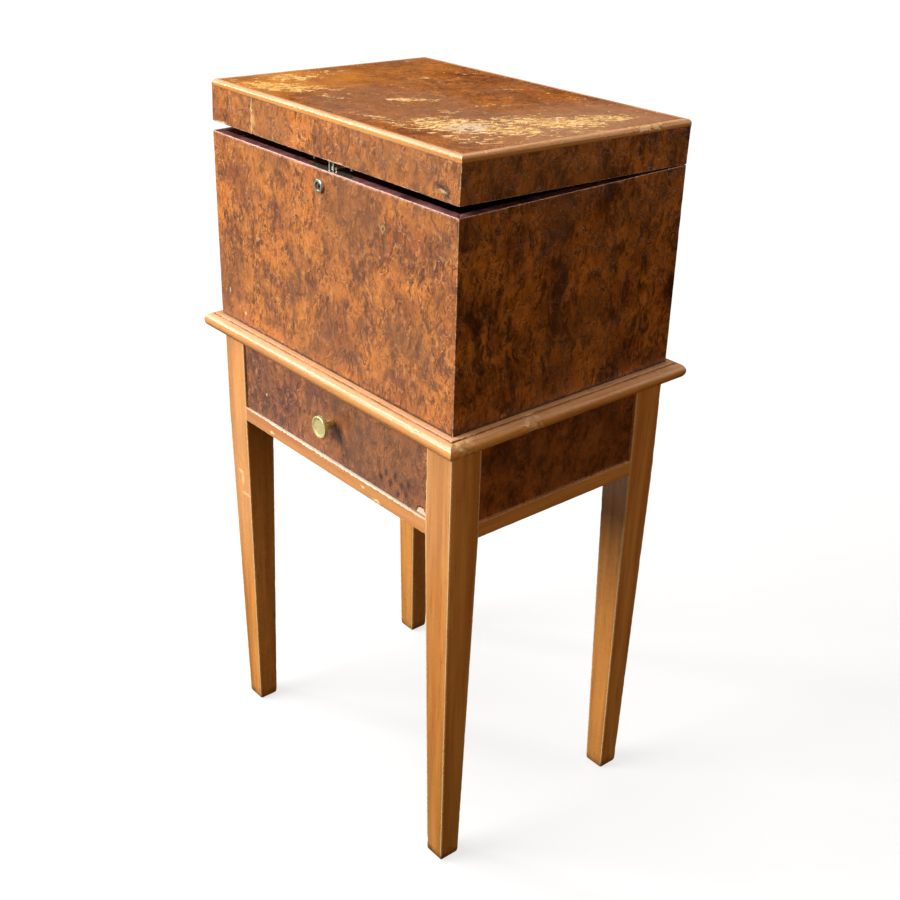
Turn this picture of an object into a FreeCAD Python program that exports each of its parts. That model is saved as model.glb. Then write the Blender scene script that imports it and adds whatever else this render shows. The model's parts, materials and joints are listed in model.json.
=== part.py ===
"""Sewing table: a lidded box on a four-legged stand with one drawer.

Frame: +Z up, the drawer and the keyhole face -Y, X runs along the front.
The origin is on the floor, at the middle of the table.
Every length is in millimetres. The lid is drawn closed and then swung ajar
about its hinge line by each lid piece's Placement.
"""
import FreeCAD, Part
import os
import re

# Driving sizes: name, value, what it is.
SIZES = [
    ("box_width", 400, "outside of the box along X"),
    ("box_depth", 290, "outside of the box along Y"),
    ("wall_height", 207, "box wall, from the ledge to the rim"),
    ("wall_thick", 10, "box wall and lid rail"),
    ("floor_thick", 8, "bottom panel of the box"),
    ("lid_height", 44, "whole lid, from its lower edge to its top"),
    ("lid_gap", 0.4, "closed lid to rim"),
    ("lid_ajar", 1.9, "degrees that the lid stands open"),
    ("bead_size", 7, "square section of the bead round the lid's top"),
    ("bead_round", 4, "radius of the bead's outer arris"),
    ("veneer_thick", 0.8, "veneer on the lid's top"),
    ("leg_height", 509, "floor to the underside of the top"),
    ("leg_size", 37, "square section of a leg above its taper"),
    ("leg_foot", 24, "square section of a leg at the floor"),
    ("leg_inset", 1.5, "leg's outer face behind the box's face"),
    ("foot_chamfer", 1.5, "chamfer round the bottom of a leg"),
    ("apron_height", 87, "aprons, and the opening for the drawer"),
    ("rail_height", 16.5, "light rail below the drawer and the aprons"),
    ("rail_thick", 15, "side and back rails"),
    ("front_rail_thick", 24, "rail below the drawer"),
    ("apron_thick", 12, "veneered apron panel"),
    ("apron_inset", 3, "apron's face behind the leg's face"),
    ("top_thick", 18, "top of the stand and the moulding round it"),
    ("nose_reach", 15.5, "moulding beyond the box's face"),
    ("ledge_width", 6, "flat ledge of the moulding beside the box"),
    ("quirk_depth", 1.2, "step from the ledge down to the round nose"),
    ("moulding_lap", 9.5, "moulding reaching in under the box"),
    ("fixing_inset", 50, "screws that hold the box, in from its faces"),
    ("fixing_length", 24, "length of the screws that hold the box"),
    ("drawer_gap", 1, "gap round the drawer front"),
    ("drawer_inset", 2, "drawer front behind the legs' faces"),
    ("drawer_front_thick", 12, "drawer front"),
    ("drawer_side_thick", 8, "drawer sides and back"),
    ("drawer_side_height", 70, "drawer sides"),
    ("drawer_tail_gap", 6, "drawer back to the back apron"),
    ("drawer_floor_thick", 4, "drawer bottom"),
    ("drawer_floor_rise", 6, "drawer bottom above the lower edge of the sides"),
    ("groove_depth", 4, "groove that holds the drawer bottom"),
    ("slide_gap", 0.2, "sliding wood on wood"),
    ("runner_width", 18, "runner below each drawer side"),
    ("guide_height", 10, "guide that stands beside the drawer side"),
    ("stop_length", 30, "drawer stop along X"),
    ("stop_width", 7, "drawer stop along Y"),
    ("stop_height", 4.5, "drawer stop"),
    ("stop_spread", 180, "distance between the two drawer stops"),
    ("knob_offset", 5, "knob to the right of the middle"),
    ("knob_radius", 12.3, "knob disc"),
    ("knob_disc", 4.5, "thickness of the knob's disc"),
    ("knob_reach", 17.5, "drawer front to the knob's face"),
    ("knob_neck", 4.5, "radius of the knob's neck"),
    ("knob_rim", 1.8, "flat rim round the knob's dished face"),
    ("knob_dish", 0.9, "depth of the knob's dished face"),
    ("knob_round", 1.1, "rounding of the knob's edge"),
    ("bolt_shank", 2, "radius of the knob's screw"),
    ("bolt_head", 5, "radius of the knob screw's head"),
    ("bolt_head_thick", 2.2, "knob screw's head"),
    ("bolt_grip", 8, "knob screw's length inside the knob"),
    ("hinge_spread", 250, "distance between the two hinges"),
    ("hinge_length", 50, "length of a hinge"),
    ("hinge_middle", 18, "length of a hinge's middle knuckle"),
    ("knuckle_radius", 3, "outside of a knuckle"),
    ("knuckle_gap", 0.3, "knuckle to the back of the box, and between knuckles"),
    ("pin_radius", 1.25, "hinge pin"),
    ("pin_head", 2.2, "radius of a hinge pin's head"),
    ("pin_head_thick", 1, "head of a hinge pin"),
    ("pin_seat", 0.02, "clearance of the pin in its own leaf"),
    ("pin_play", 0.05, "clearance of the pin in the lid's leaf"),
    ("leaf_width", 8.5, "hinge leaf on the wood"),
    ("leaf_thick", 1.5, "hinge leaf, strike plate"),
    ("screw_shank", 1.2, "radius of a small screw"),
    ("screw_head", 2.3, "radius of a small screw's head"),
    ("screw_cone", 1.2, "depth of a small screw's countersunk head"),
    ("screw_length", 9, "length of a small screw"),
    ("screw_play", 0.05, "clearance round a screw"),
    ("lock_offset", 10, "middle of the lock to the right of the middle"),
    ("lock_length", 64, "lock's top plate"),
    ("plate_thick", 2, "lock's top plate"),
    ("plate_setback", 1.8, "wood left in front of the lock's top plate"),
    ("back_plate", 1.2, "lock's plate on the inside of the wall"),
    ("back_height", 30, "height of the lock's back plate"),
    ("case_left", 20, "lock case to the left of the lock's middle"),
    ("case_right", 10, "lock case to the right of the lock's middle"),
    ("case_depth", 27, "bottom of the lock case below the rim"),
    ("case_skin", 0.9, "walls of the lock case"),
    ("key_left", 14, "keyhole to the left of the lock's middle"),
    ("key_drop", 17, "keyhole below the rim"),
    ("key_hole", 2.2, "radius of the keyhole's round part"),
    ("key_slot", 2.2, "width of the keyhole's slot"),
    ("key_reach", 5.6, "slot of the keyhole below its middle"),
    ("key_pin", 0.9, "radius of the lock's drill pin"),
    ("collar_radius", 7, "keyhole collar"),
    ("collar_reach", 2.8, "keyhole collar proud of the box"),
    ("collar_round", 1.3, "rounding of the collar's outer edge"),
    ("collar_well", 4.6, "radius of the collar's sunk face"),
    ("collar_sink", 1.6, "depth of the collar's sunk face"),
    ("link_spread", 6.4, "distance between the two links of the strike"),
    ("link_thick", 1.6, "link of the strike along X"),
    ("link_width", 4.6, "link of the strike along Y"),
    ("link_drop", 12, "link below the strike plate"),
    ("link_play", 0.6, "clearance round a link in the lock"),
    ("eye_low", 10, "bottom of a link's eye below the strike plate"),
    ("eye_high", 6, "top of a link's eye below the strike plate"),
    ("eye_width", 2.6, "width of a link's eye"),
    ("dowel_spread", 60, "distance between the strike's two dowels"),
    ("dowel_radius", 1.25, "dowel of the strike"),
    ("dowel_drop", 4, "dowel below the strike plate"),
    ("dowel_play", 0.9, "clearance round a dowel"),
    ("finger_thick", 1.6, "bolt's finger along Y"),
    ("finger_high", 6.8, "top of the bolt's finger below the rim"),
    ("bolt_bar", 2.4, "height of the bolt's bars"),
    ("bolt_low", 15.5, "bottom of the bolt below the rim"),
    ("bolt_length", 12, "bolt along X"),
    ("bolt_rest", 5, "tip of the withdrawn bolt, left of the lock's middle"),
    ("bolt_play", 0.1, "clearance of the bolt in its case"),
    ("ledge_size", 6, "square section of the ledges that carry the till"),
    ("till_length", 176, "sliding till along X"),
    ("till_height", 34, "sides of the till"),
    ("till_side", 5, "thickness of the till's sides"),
    ("till_floor", 3, "bottom of the till"),
    ("till_gap", 1, "till to the box walls"),
    ("till_sink", 7, "top of the till below the rim"),
]

# Places worked out from the sizes. Each may use the ones above it.
PLACES = {
    "half_w": "box_width / 2",
    "half_d": "box_depth / 2",
    "in_w": "half_w - wall_thick",
    "in_d": "half_d - wall_thick",
    "nose_w": "half_w + nose_reach",
    "nose_d": "half_d + nose_reach",
    "moulding_width": "nose_reach + moulding_lap",
    "nose_radius": "(top_thick - quirk_depth) / 2",
    "ledge_z": "leg_height + top_thick",
    "floor_z": "ledge_z + floor_thick",
    "rim_z": "ledge_z + wall_height",
    "lid_z": "rim_z + lid_gap",
    "bead_z": "rim_z + lid_height - bead_size",
    "veneer_z": "rim_z + lid_height - veneer_thick",
    "lid_top": "rim_z + lid_height",
    "rail_top": "leg_height - apron_height",
    "taper_start": "rail_top - rail_height",
    "leg_out_w": "half_w - leg_inset",
    "leg_out_d": "half_d - leg_inset",
    "leg_in_w": "leg_out_w - leg_size",
    "leg_in_d": "leg_out_d - leg_size",
    "front_rail_y": "front_rail_thick - leg_out_d",
    "back_rail_y": "leg_out_d - rail_thick",
    "side_rail_x": "leg_out_w - rail_thick",
    "drawer_face_y": "drawer_inset - leg_out_d",
    "drawer_inside_y": "drawer_face_y + drawer_front_thick",
    "drawer_tail_y": "leg_out_d - apron_inset - apron_thick - drawer_tail_gap",
    "drawer_half": "leg_in_w - drawer_gap",
    "drawer_in_x": "drawer_half - drawer_side_thick",
    "drawer_low": "rail_top + slide_gap",
    "drawer_floor_z": "drawer_low + drawer_floor_rise",
    "drawer_floor_top": "drawer_floor_z + drawer_floor_thick",
    "drawer_side_top": "drawer_low + drawer_side_height",
    "knob_z": "(rail_top + leg_height) / 2",
    "hinge_y": "half_d + knuckle_radius + knuckle_gap",
    "hinge_z": "rim_z + lid_gap / 2",
    "plate_y": "plate_setback - half_d",
    "wall_in_y": "0 - in_d",
    "back_plate_y": "wall_in_y - back_plate",
    "case_y": "plate_y + 0.2",
    "link_mid_y": "(case_y + case_skin + back_plate_y) / 2",
    "key_x": "lock_offset - key_left",
    "key_z": "rim_z - key_drop",
    "till_low": "till_top - till_height",
    "till_top": "rim_z - till_sink",
    "till_under": "rim_z - till_sink - till_height - till_floor",
    "till_left": "till_gap - in_w",
    "till_right": "till_left + till_length",
    "till_y": "in_d - till_gap",
}

NUMBERS = {name: value for name, value, note in SIZES}
FRONT, RIGHT, BACK, LEFT = 0, 90, 180, 270
LID_SWING = "placement(vector(0; 0; 0); rotation(vector(1; 0; 0); -lid_ajar); vector(0; hinge_y; hinge_z))"
MARGIN = 1.0  # how far a cutting block runs past the wood that it cuts

doc = FreeCAD.newDocument("SewingTable")
sheet = doc.addObject("Spreadsheet::Sheet", "Sizes")
nodes = []


def write_sheet():
    """Put every driving size in the spreadsheet under its own alias."""
    for row, (name, value, note) in enumerate(SIZES, start=1):
        sheet.set(f"A{row}", name)
        sheet.set(f"B{row}", str(value))
        sheet.set(f"C{row}", note)
        sheet.setAlias(f"B{row}", name)
    doc.recompute()


def ex(text):
    """Turn size and place names into an expression on the spreadsheet's cells."""
    def swap(match):
        word = match.group(0)
        if word in NUMBERS:
            return f"Sizes.{word}"
        if word in PLACES:
            return f"({ex(PLACES[word])})"
        return word
    return re.sub(r"[a-z][a-z_]*", swap, str(text))


def bind(target, **expressions):
    """Bind properties; a double underscore in a name stands for a dot."""
    for name, text in expressions.items():
        target.setExpression(name.replace("__", "."), ex(text))


def place(target, x=0, y=0, z=0, turn="rotation(vector(0; 0; 1); 0)", lid=False):
    """Bind a Placement: a turn, then a move, then the lid's swing if it is on the lid."""
    own = f"placement(vector({x}; {y}; {z}); {turn})"
    bind(target, Placement=f"{LID_SWING} * {own}" if lid else own)


def turned(axis, angle):
    """A rotation expression about the X, Y or Z axis."""
    direction = {"x": "1; 0; 0", "y": "0; 1; 0", "z": "0; 0; 1"}[axis]
    return f"rotation(vector({direction}); {angle})"


def keep(item, label):
    """Name a finished sub-part; its name is also its file's name."""
    item.Label = label
    nodes.append(item)
    return item


# ---------------------------------------------------------------- PartDesign helpers
def new_body(label):
    return keep(doc.addObject("PartDesign::Body", label), label)


def origin_plane(body, role):
    return next(item for item in body.Origin.OriginFeatures if item.Role == role)


def new_sketch(body, name, role, x=0, y=0, z=0):
    """An empty sketch on one of the body's origin planes, moved by an offset."""
    sketch = body.newObject("Sketcher::SketchObject", name)
    sketch.AttachmentSupport = (origin_plane(body, role), [""])
    sketch.MapMode = "FlatFace"
    bind(sketch, AttachmentOffset__Base__x=x, AttachmentOffset__Base__y=y,
         AttachmentOffset__Base__z=z)
    return sketch


def add_constraint(sketch, expression, *definition):
    """Add a constraint; one with an expression takes its value from the sheet."""
    import Sketcher
    index = sketch.addConstraint(Sketcher.Constraint(*definition))
    if expression is not None:
        sketch.setExpression(f"Constraints[{index}]", ex(expression))


def add_lines(sketch, corners):
    """Draw straight edges between the corners, joined end to end, and return their indices."""
    edges = []
    for start, end in zip(corners, corners[1:]):
        line = Part.LineSegment(FreeCAD.Vector(*start, 0), FreeCAD.Vector(*end, 0))
        edges.append(sketch.addGeometry(line, False))
    for first, second in zip(edges, edges[1:]):
        add_constraint(sketch, None, "Coincident", first, 2, second, 1)
    return edges


def rectangle(body, name, role, width, height, **offset):
    """A rectangle with one corner on the sketch's origin."""
    sketch = new_sketch(body, name, role, **offset)
    low, right, high, left = add_lines(sketch, [(0, 0), (10, 0), (10, 10), (0, 10), (0, 0)])
    add_constraint(sketch, None, "Coincident", left, 2, low, 1)
    add_constraint(sketch, None, "Coincident", low, 1, -1, 1)
    for level in (low, high):
        add_constraint(sketch, None, "Horizontal", level)
    for upright in (right, left):
        add_constraint(sketch, None, "Vertical", upright)
    add_constraint(sketch, width, "DistanceX", low, 1, low, 2, 10)
    add_constraint(sketch, height, "DistanceY", right, 1, right, 2, 10)
    return sketch


def pad(body, name, sketch, length):
    feature = body.newObject("PartDesign::Pad", name)
    feature.Profile = sketch
    bind(feature, Length=length)
    return feature


def span(limits):
    return f"({limits[1]}) - ({limits[0]})"


def board(label, x, y, z, lid=False):
    """A rectangular board between three (low, high) pairs of places."""
    body = new_body(label)
    sketch = rectangle(body, f"{label}_outline", "XY_Plane", span(x), span(y),
                       x=x[0], y=y[0], z=z[0])
    pad(body, f"{label}_pad", sketch, span(z))
    if lid:
        place(body, lid=True)
    return body


def block(body, name, x, y, z, cut=False, turn="rotation(vector(0; 0; 1); 0)"):
    """Add or cut a rectangular block between three (low, high) pairs of places."""
    kind = "PartDesign::SubtractiveBox" if cut else "PartDesign::AdditiveBox"
    feature = body.newObject(kind, name)
    bind(feature, Length=span(x), Width=span(y), Height=span(z),
         Placement=f"placement(vector({x[0]}; {y[0]}; {z[0]}); {turn})")
    return feature


def rod(body, name, radius, length, x=0, y=0, z=0, turn="rotation(vector(0; 0; 1); 0)", cut=False):
    """Add or cut a cylinder that starts at a point and runs along its turned Z axis."""
    kind = "PartDesign::SubtractiveCylinder" if cut else "PartDesign::AdditiveCylinder"
    feature = body.newObject(kind, name)
    bind(feature, Radius=radius, Height=length, Placement=f"placement(vector({x}; {y}; {z}); {turn})")
    return feature


def soften(body, kind, name, is_wanted, **sizes):
    """Fillet or chamfer those edges of the body's tip that pass a test."""
    doc.recompute()
    base = body.Tip
    edges = [f"Edge{i}" for i, edge in enumerate(base.Shape.Edges, start=1) if is_wanted(edge)]
    feature = body.newObject(f"PartDesign::{kind}", name)
    feature.Base = (base, edges)
    bind(feature, **sizes)
    return feature


def at_height(z):
    """A test for edges that lie wholly at one height in the body's own frame."""
    def test(edge):
        box = edge.BoundBox
        return abs(box.ZMin - z) < 0.01 and abs(box.ZMax - z) < 0.01
    return test


# ---------------------------------------------------------------- mitred frames
def strip_body(label, side, half_w, half_d, lid):
    """A strip's body, turned to its side, with its half length and its distance out."""
    body = new_body(label)
    place(body, turn=turned("z", side), lid=lid)
    if side in (FRONT, BACK):
        return body, half_w, half_d
    return body, half_d, half_w


def mitre(body, half_length, out, width, z):
    """Cut both ends of a strip at 45 degrees, from its outer corners inwards."""
    for name, end in (("mitre_left", f"-({half_length})"), ("mitre_right", half_length)):
        cutter = body.newObject("PartDesign::SubtractiveBox", f"{body.Name}_{name}")
        corner = f"placement(vector({end}; -({out}); ({z[0]}) - {MARGIN}); {turned('z', 45)})"
        bind(cutter, Length=f"2 * ({width})", Width=f"2 * ({width})",
             Height=f"{span(z)} + {2 * MARGIN}", Placement=corner)


def square_strip(label, side, half_w, half_d, width, z, lid=False, rounded=None):
    """One side of a mitred frame with a rectangular section."""
    body, half_length, out = strip_body(label, side, half_w, half_d, lid)
    sketch = rectangle(body, f"{label}_section", "YZ_Plane", width, span(z),
                       x=f"-({out})", y=z[0], z=f"-({half_length})")
    pad(body, f"{label}_pad", sketch, f"2 * ({half_length})")
    if rounded is not None:
        round_outer_arris(body, rounded)
    mitre(body, half_length, out, width, z)
    return body


def round_outer_arris(body, radius):
    """Round the long edge that is both outermost and highest."""
    doc.recompute()
    box = body.Tip.Shape.BoundBox

    def is_outer_top(edge):
        spot = edge.BoundBox
        return (spot.XLength > 0.9 * box.XLength and abs(spot.YMax - box.YMin) < 0.01
                and abs(spot.ZMin - box.ZMax) < 0.01)
    soften(body, "Fillet", f"{body.Name}_round", is_outer_top, Radius=radius)


def moulding_section(body, name, out, half_length):
    """Ledge, small step and half-round nose, with the nose's tip on the sketch's Y axis."""
    sketch = new_sketch(body, name, "YZ_Plane", x=f"-({out})", y="leg_height", z=f"-({half_length})")
    wide, high, nose, step = 25.0, 18.0, 8.0, 9.5
    top, inner, under = add_lines(sketch, [(step, high), (wide, high), (wide, 0), (nose, 0)])
    circle = Part.Circle(FreeCAD.Vector(nose, nose, 0), FreeCAD.Vector(0, 0, 1), nose)
    quarter = FreeCAD.Units.Quantity("90 deg").getValueAs("rad").Value
    arc = sketch.addGeometry(Part.ArcOfCircle(circle, quarter, 3 * quarter), False)
    flat, riser = add_lines(sketch, [(nose, 2 * nose), (step, 2 * nose), (step, high)])
    add_constraint(sketch, None, "Tangent", arc, 2, under, 2)
    add_constraint(sketch, None, "Tangent", arc, 1, flat, 1)
    add_constraint(sketch, None, "Coincident", riser, 2, top, 1)
    for level in (top, under, flat):
        add_constraint(sketch, None, "Horizontal", level)
    for upright in (inner, riser):
        add_constraint(sketch, None, "Vertical", upright)
    add_constraint(sketch, "nose_radius", "DistanceX", -1, 1, arc, 3, nose)
    add_constraint(sketch, "nose_radius", "DistanceY", -1, 1, arc, 3, nose)
    add_constraint(sketch, None, "PointOnObject", under, 2, -1)
    add_constraint(sketch, "nose_reach - ledge_width", "DistanceX", -1, 1, riser, 2, step)
    add_constraint(sketch, "moulding_width", "DistanceX", -1, 1, inner, 1, wide)
    add_constraint(sketch, "top_thick", "DistanceY", -1, 1, inner, 1, high)
    return sketch


def moulding(label, side):
    """One side of the moulding round the stand's top."""
    body, half_length, out = strip_body(label, side, "nose_w", "nose_d", False)
    sketch = moulding_section(body, f"{label}_section", out, half_length)
    pad(body, f"{label}_pad", sketch, f"2 * ({half_length})")
    mitre(body, half_length, out, "moulding_width", ("leg_height", "ledge_z"))
    return body


# ---------------------------------------------------------------- Part helpers
def solid(kind, name, **sizes):
    item = doc.addObject(f"Part::{kind}", name)
    bind(item, **sizes)
    return item


def part_block(name, x, y, z):
    item = solid("Box", name, Length=span(x), Width=span(y), Height=span(z))
    place(item, x[0], y[0], z[0])
    return item


def part_rod(name, radius, x, y, z):
    """A cylinder along X between two places."""
    item = solid("Cylinder", name, Radius=radius, Height=span(x))
    place(item, x[0], y, z, turned("y", 90))
    return item


def fuse(name, items):
    item = doc.addObject("Part::MultiFuse", name)
    item.Shapes = items
    return item


def cut(name, base, tools):
    item = doc.addObject("Part::Cut", name)
    item.Base = base
    item.Tool = tools[0] if len(tools) == 1 else fuse(f"{name}_tools", tools)
    return item


def group(label, items):
    """Identical pieces kept together as one node of separate solids."""
    item = keep(doc.addObject("Part::Compound", label), label)
    item.Links = items
    return item


def screw(name, head, cone, shank, length, x, y, z, turn, lid=False):
    """A countersunk screw: its flat face at the given place, its point along the turned -Z."""
    top = solid("Cone", f"{name}_head", Radius1=shank, Radius2=head, Height=cone)
    place(top, z=f"-({cone})")
    stem = solid("Cylinder", f"{name}_stem", Radius=shank, Height=length)
    place(stem, z=f"-({length})")
    item = fuse(name, [top, stem])
    place(item, x, y, z, turn, lid)
    return item


def screw_hole(body, name, head, cone, shank, length, x, y, z, turn):
    """The countersunk hole that a screw of these sizes sits in."""
    mouth = body.newObject("PartDesign::SubtractiveCone", f"{name}_mouth")
    bind(mouth, Radius1=f"{shank} + screw_play", Radius2=f"{head} + screw_play", Height=cone,
         Placement=f"placement(vector({x}; {y}; {z}); {turn}) * placement(vector(0; 0; -({cone})); "
                   f"{turned('z', 0)})")
    bore = body.newObject("PartDesign::SubtractiveCylinder", f"{name}_bore")
    bind(bore, Radius=f"{shank} + screw_play", Height=f"{length} + screw_play + {MARGIN}",
         Placement=f"placement(vector({x}; {y}; {z}); {turn}) * "
                   f"placement(vector(0; 0; -({length}) - screw_play); {turned('z', 0)})")


SMALL_SCREW = ("screw_head", "screw_cone", "screw_shank", "screw_length")
POINT_DOWN = turned("x", 0)
POINT_UP = turned("x", 180)
POINT_FORWARD = turned("x", -90)  # towards -Y


# ---------------------------------------------------------------- the stand
def make_leg(label, side_x, side_y):
    """A square leg, tapered on all four faces below the rails."""
    body = new_body(label)
    sections = []
    for name, size, z in (("foot", "leg_foot", "0"), ("shoulder", "leg_size", "taper_start")):
        half = f"-({size}) / 2"
        sections.append(rectangle(body, f"{label}_{name}", "XY_Plane", size, size, x=half, y=half, z=z))
    taper = body.newObject("PartDesign::AdditiveLoft", f"{label}_taper")
    taper.Profile = sections[0]
    taper.Sections = [sections[1]]
    taper.Ruled = True
    pad(body, f"{label}_top", sections[1], "leg_height - taper_start")
    soften(body, "Chamfer", f"{label}_chamfer", at_height(0), Size="foot_chamfer")
    place(body, f"{side_x} * (leg_out_w - leg_size / 2)", f"{side_y} * (leg_out_d - leg_size / 2)")


def make_stand():
    for name_y, side_y in (("front", -1), ("back", 1)):
        for name_x, side_x in (("left", -1), ("right", 1)):
            make_leg(f"{name_y}_{name_x}_leg", side_x, side_y)
    between_x = ("-leg_in_w", "leg_in_w")
    between_y = ("-leg_in_d", "leg_in_d")
    rail_z = ("taper_start", "rail_top")
    apron_z = ("rail_top", "leg_height")
    face, inside = "apron_inset", "apron_inset + apron_thick"
    board("left_apron", (f"{face} - leg_out_w", f"{inside} - leg_out_w"), between_y, apron_z)
    board("right_apron", (f"leg_out_w - ({inside})", f"leg_out_w - {face}"), between_y, apron_z)
    board("back_apron", between_x, (f"leg_out_d - ({inside})", f"leg_out_d - {face}"), apron_z)
    board("left_rail", ("-leg_out_w", "-side_rail_x"), between_y, rail_z)
    board("right_rail", ("side_rail_x", "leg_out_w"), between_y, rail_z)
    board("back_rail", between_x, ("back_rail_y", "leg_out_d"), rail_z)
    board("drawer_rail", between_x, ("-leg_out_d", "front_rail_y"), rail_z)
    make_runner("left_drawer_runner", -1)
    make_runner("right_drawer_runner", 1)
    stops = []
    for name, side in (("left", "-stop_spread / 2"), ("right", "stop_spread / 2")):
        x = (f"{side} - stop_length / 2", f"{side} + stop_length / 2")
        y = ("drawer_inside_y + slide_gap", "drawer_inside_y + slide_gap + stop_width")
        stops.append(part_block(f"{name}_stop", x, y, ("rail_top", "rail_top + stop_height")))
    group("drawer_stops", stops)
    make_top()


def make_runner(label, side):
    """A runner below a drawer side, with a guide beside it, between the legs."""
    body = new_body(label)
    inner, outer = "leg_in_w - runner_width", "side_rail_x"
    low = "taper_start"

    def mirrored(first, second):
        return (f"-({second})", f"-({first})") if side < 0 else (first, second)
    block(body, f"{label}_run", mirrored(inner, "leg_in_w"), ("front_rail_y", "back_rail_y"),
          (low, "rail_top"))
    block(body, f"{label}_guide", mirrored("leg_in_w", outer), ("-leg_in_d", "leg_in_d"),
          (low, "rail_top + guide_height"))


def make_top():
    """The stand's top: a core board with a mitred moulding round it."""
    core = board("stand_top", ("moulding_lap - half_w", "half_w - moulding_lap"),
                 ("moulding_lap - half_d", "half_d - moulding_lap"), ("leg_height", "ledge_z"))
    for name, side in (("front", FRONT), ("right", RIGHT), ("back", BACK), ("left", LEFT)):
        moulding(f"{name}_moulding", side)
    screws = []
    for index, (x, y) in enumerate(fixing_places()):
        sizes = ("2 * screw_head", "2 * screw_cone", "2 * screw_shank", "fixing_length")
        screws.append(screw(f"fixing_{index}", *sizes, x, y, "leg_height", POINT_UP))
        screw_hole(core, f"fixing_hole_{index}", *sizes, x, y, "leg_height", POINT_UP)
    group("box_fixing_screws", screws)


def fixing_places():
    return [(f"{sx} * (half_w - fixing_inset)", f"{sy} * (half_d - fixing_inset)")
            for sx in (-1, 1) for sy in (-1, 1)]


# ---------------------------------------------------------------- the box
def make_box():
    walls = {}
    for name, side in (("front", FRONT), ("right", RIGHT), ("back", BACK), ("left", LEFT)):
        walls[name] = square_strip(f"box_{name}_wall", side, "half_w", "half_d", "wall_thick",
                                   ("ledge_z", "rim_z"))
    cut_lock_recess(walls["front"])
    cut_leaf_recesses(walls["back"], ("rim_z - leaf_thick", "rim_z"), "rim_z", POINT_DOWN)
    panel = board("box_bottom", ("-in_w", "in_w"), ("-in_d", "in_d"), ("ledge_z", "floor_z"))
    for index, (x, y) in enumerate(fixing_places()):
        rod(panel, f"bottom_hole_{index}", "2 * screw_shank + screw_play",
            "fixing_length - top_thick + screw_play + 1", x, y, "ledge_z - 1", cut=True)
    ledges = []
    for name, y in (("front", ("-in_d", "ledge_size - in_d")), ("back", ("in_d - ledge_size", "in_d"))):
        ledges.append(part_block(f"{name}_ledge", ("-in_w", "in_w"), y,
                                 ("till_under - slide_gap - ledge_size", "till_under - slide_gap")))
    group("till_ledges", ledges)


def cut_lock_recess(wall):
    """Make room in the front wall for the lock, the strike's dowels and the key."""
    middle = "lock_offset"
    block(wall, "top_plate_recess", (f"{middle} - lock_length / 2", f"{middle} + lock_length / 2"),
          ("plate_y", f"wall_in_y + {MARGIN}"), ("rim_z - plate_thick", f"rim_z + {MARGIN}"), cut=True)
    block(wall, "back_plate_recess", (f"{middle} - lock_length / 2", f"{middle} + lock_length / 2"),
          ("back_plate_y", f"wall_in_y + {MARGIN}"), ("rim_z - back_height", "rim_z - plate_thick"),
          cut=True)
    block(wall, "case_recess", (f"{middle} - case_left", f"{middle} + case_right"),
          ("case_y", f"back_plate_y + {MARGIN}"), ("rim_z - case_depth", "rim_z - plate_thick"),
          cut=True)
    for name, x in dowel_places():
        rod(wall, f"dowel_hole_{name}", "dowel_radius + dowel_play", "dowel_drop + plate_thick",
            x, "link_mid_y", "rim_z - dowel_drop - plate_thick", cut=True)
    cut_keyhole(wall, "key_x", "key_z", "0 - half_d - 1", "case_y + 1", "wall")


def cut_keyhole(body, x, z, y_from, y_to, name):
    """A round hole with a slot below it, cut along Y."""
    rod(body, f"{name}_key_round", "key_hole", f"({y_to}) - ({y_from})", x, y_to, z,
        turned("x", 90), cut=True)
    block(body, f"{name}_key_slot", (f"{x} - key_slot / 2", f"{x} + key_slot / 2"), (y_from, y_to),
          (f"{z} - key_reach", z), cut=True)


def dowel_places():
    return [("left", "lock_offset - dowel_spread / 2"), ("right", "lock_offset + dowel_spread / 2")]


def hinge_places():
    return [("left", "-hinge_spread / 2"), ("right", "hinge_spread / 2")]


def leaf_screw_places(middle):
    """Three screws along a leaf, staggered between its two long edges."""
    reach = "(hinge_length / 2 - 2.6 * screw_head)"
    return [(f"{middle} - {reach}", "half_d - 0.38 * leaf_width"),
            (middle, "half_d - 0.62 * leaf_width"),
            (f"{middle} + {reach}", "half_d - 0.38 * leaf_width")]


def cut_leaf_recesses(wall, z, face, turn):
    """Recess and drill a back wall or rail, drawn facing -Y and turned half round, for its leaves."""
    for name, middle in hinge_places():
        block(wall, f"{wall.Name}_{name}_recess",
              (f"{middle} - hinge_length / 2", f"{middle} + hinge_length / 2"),
              (f"-half_d - {MARGIN}", "leaf_width - half_d"), z, cut=True)
        for index, (x, y) in enumerate(leaf_screw_places(middle)):
            screw_hole(wall, f"{wall.Name}_{name}_hole_{index}", *SMALL_SCREW,
                       f"-({x})", f"-({y})", face, turn)


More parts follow.
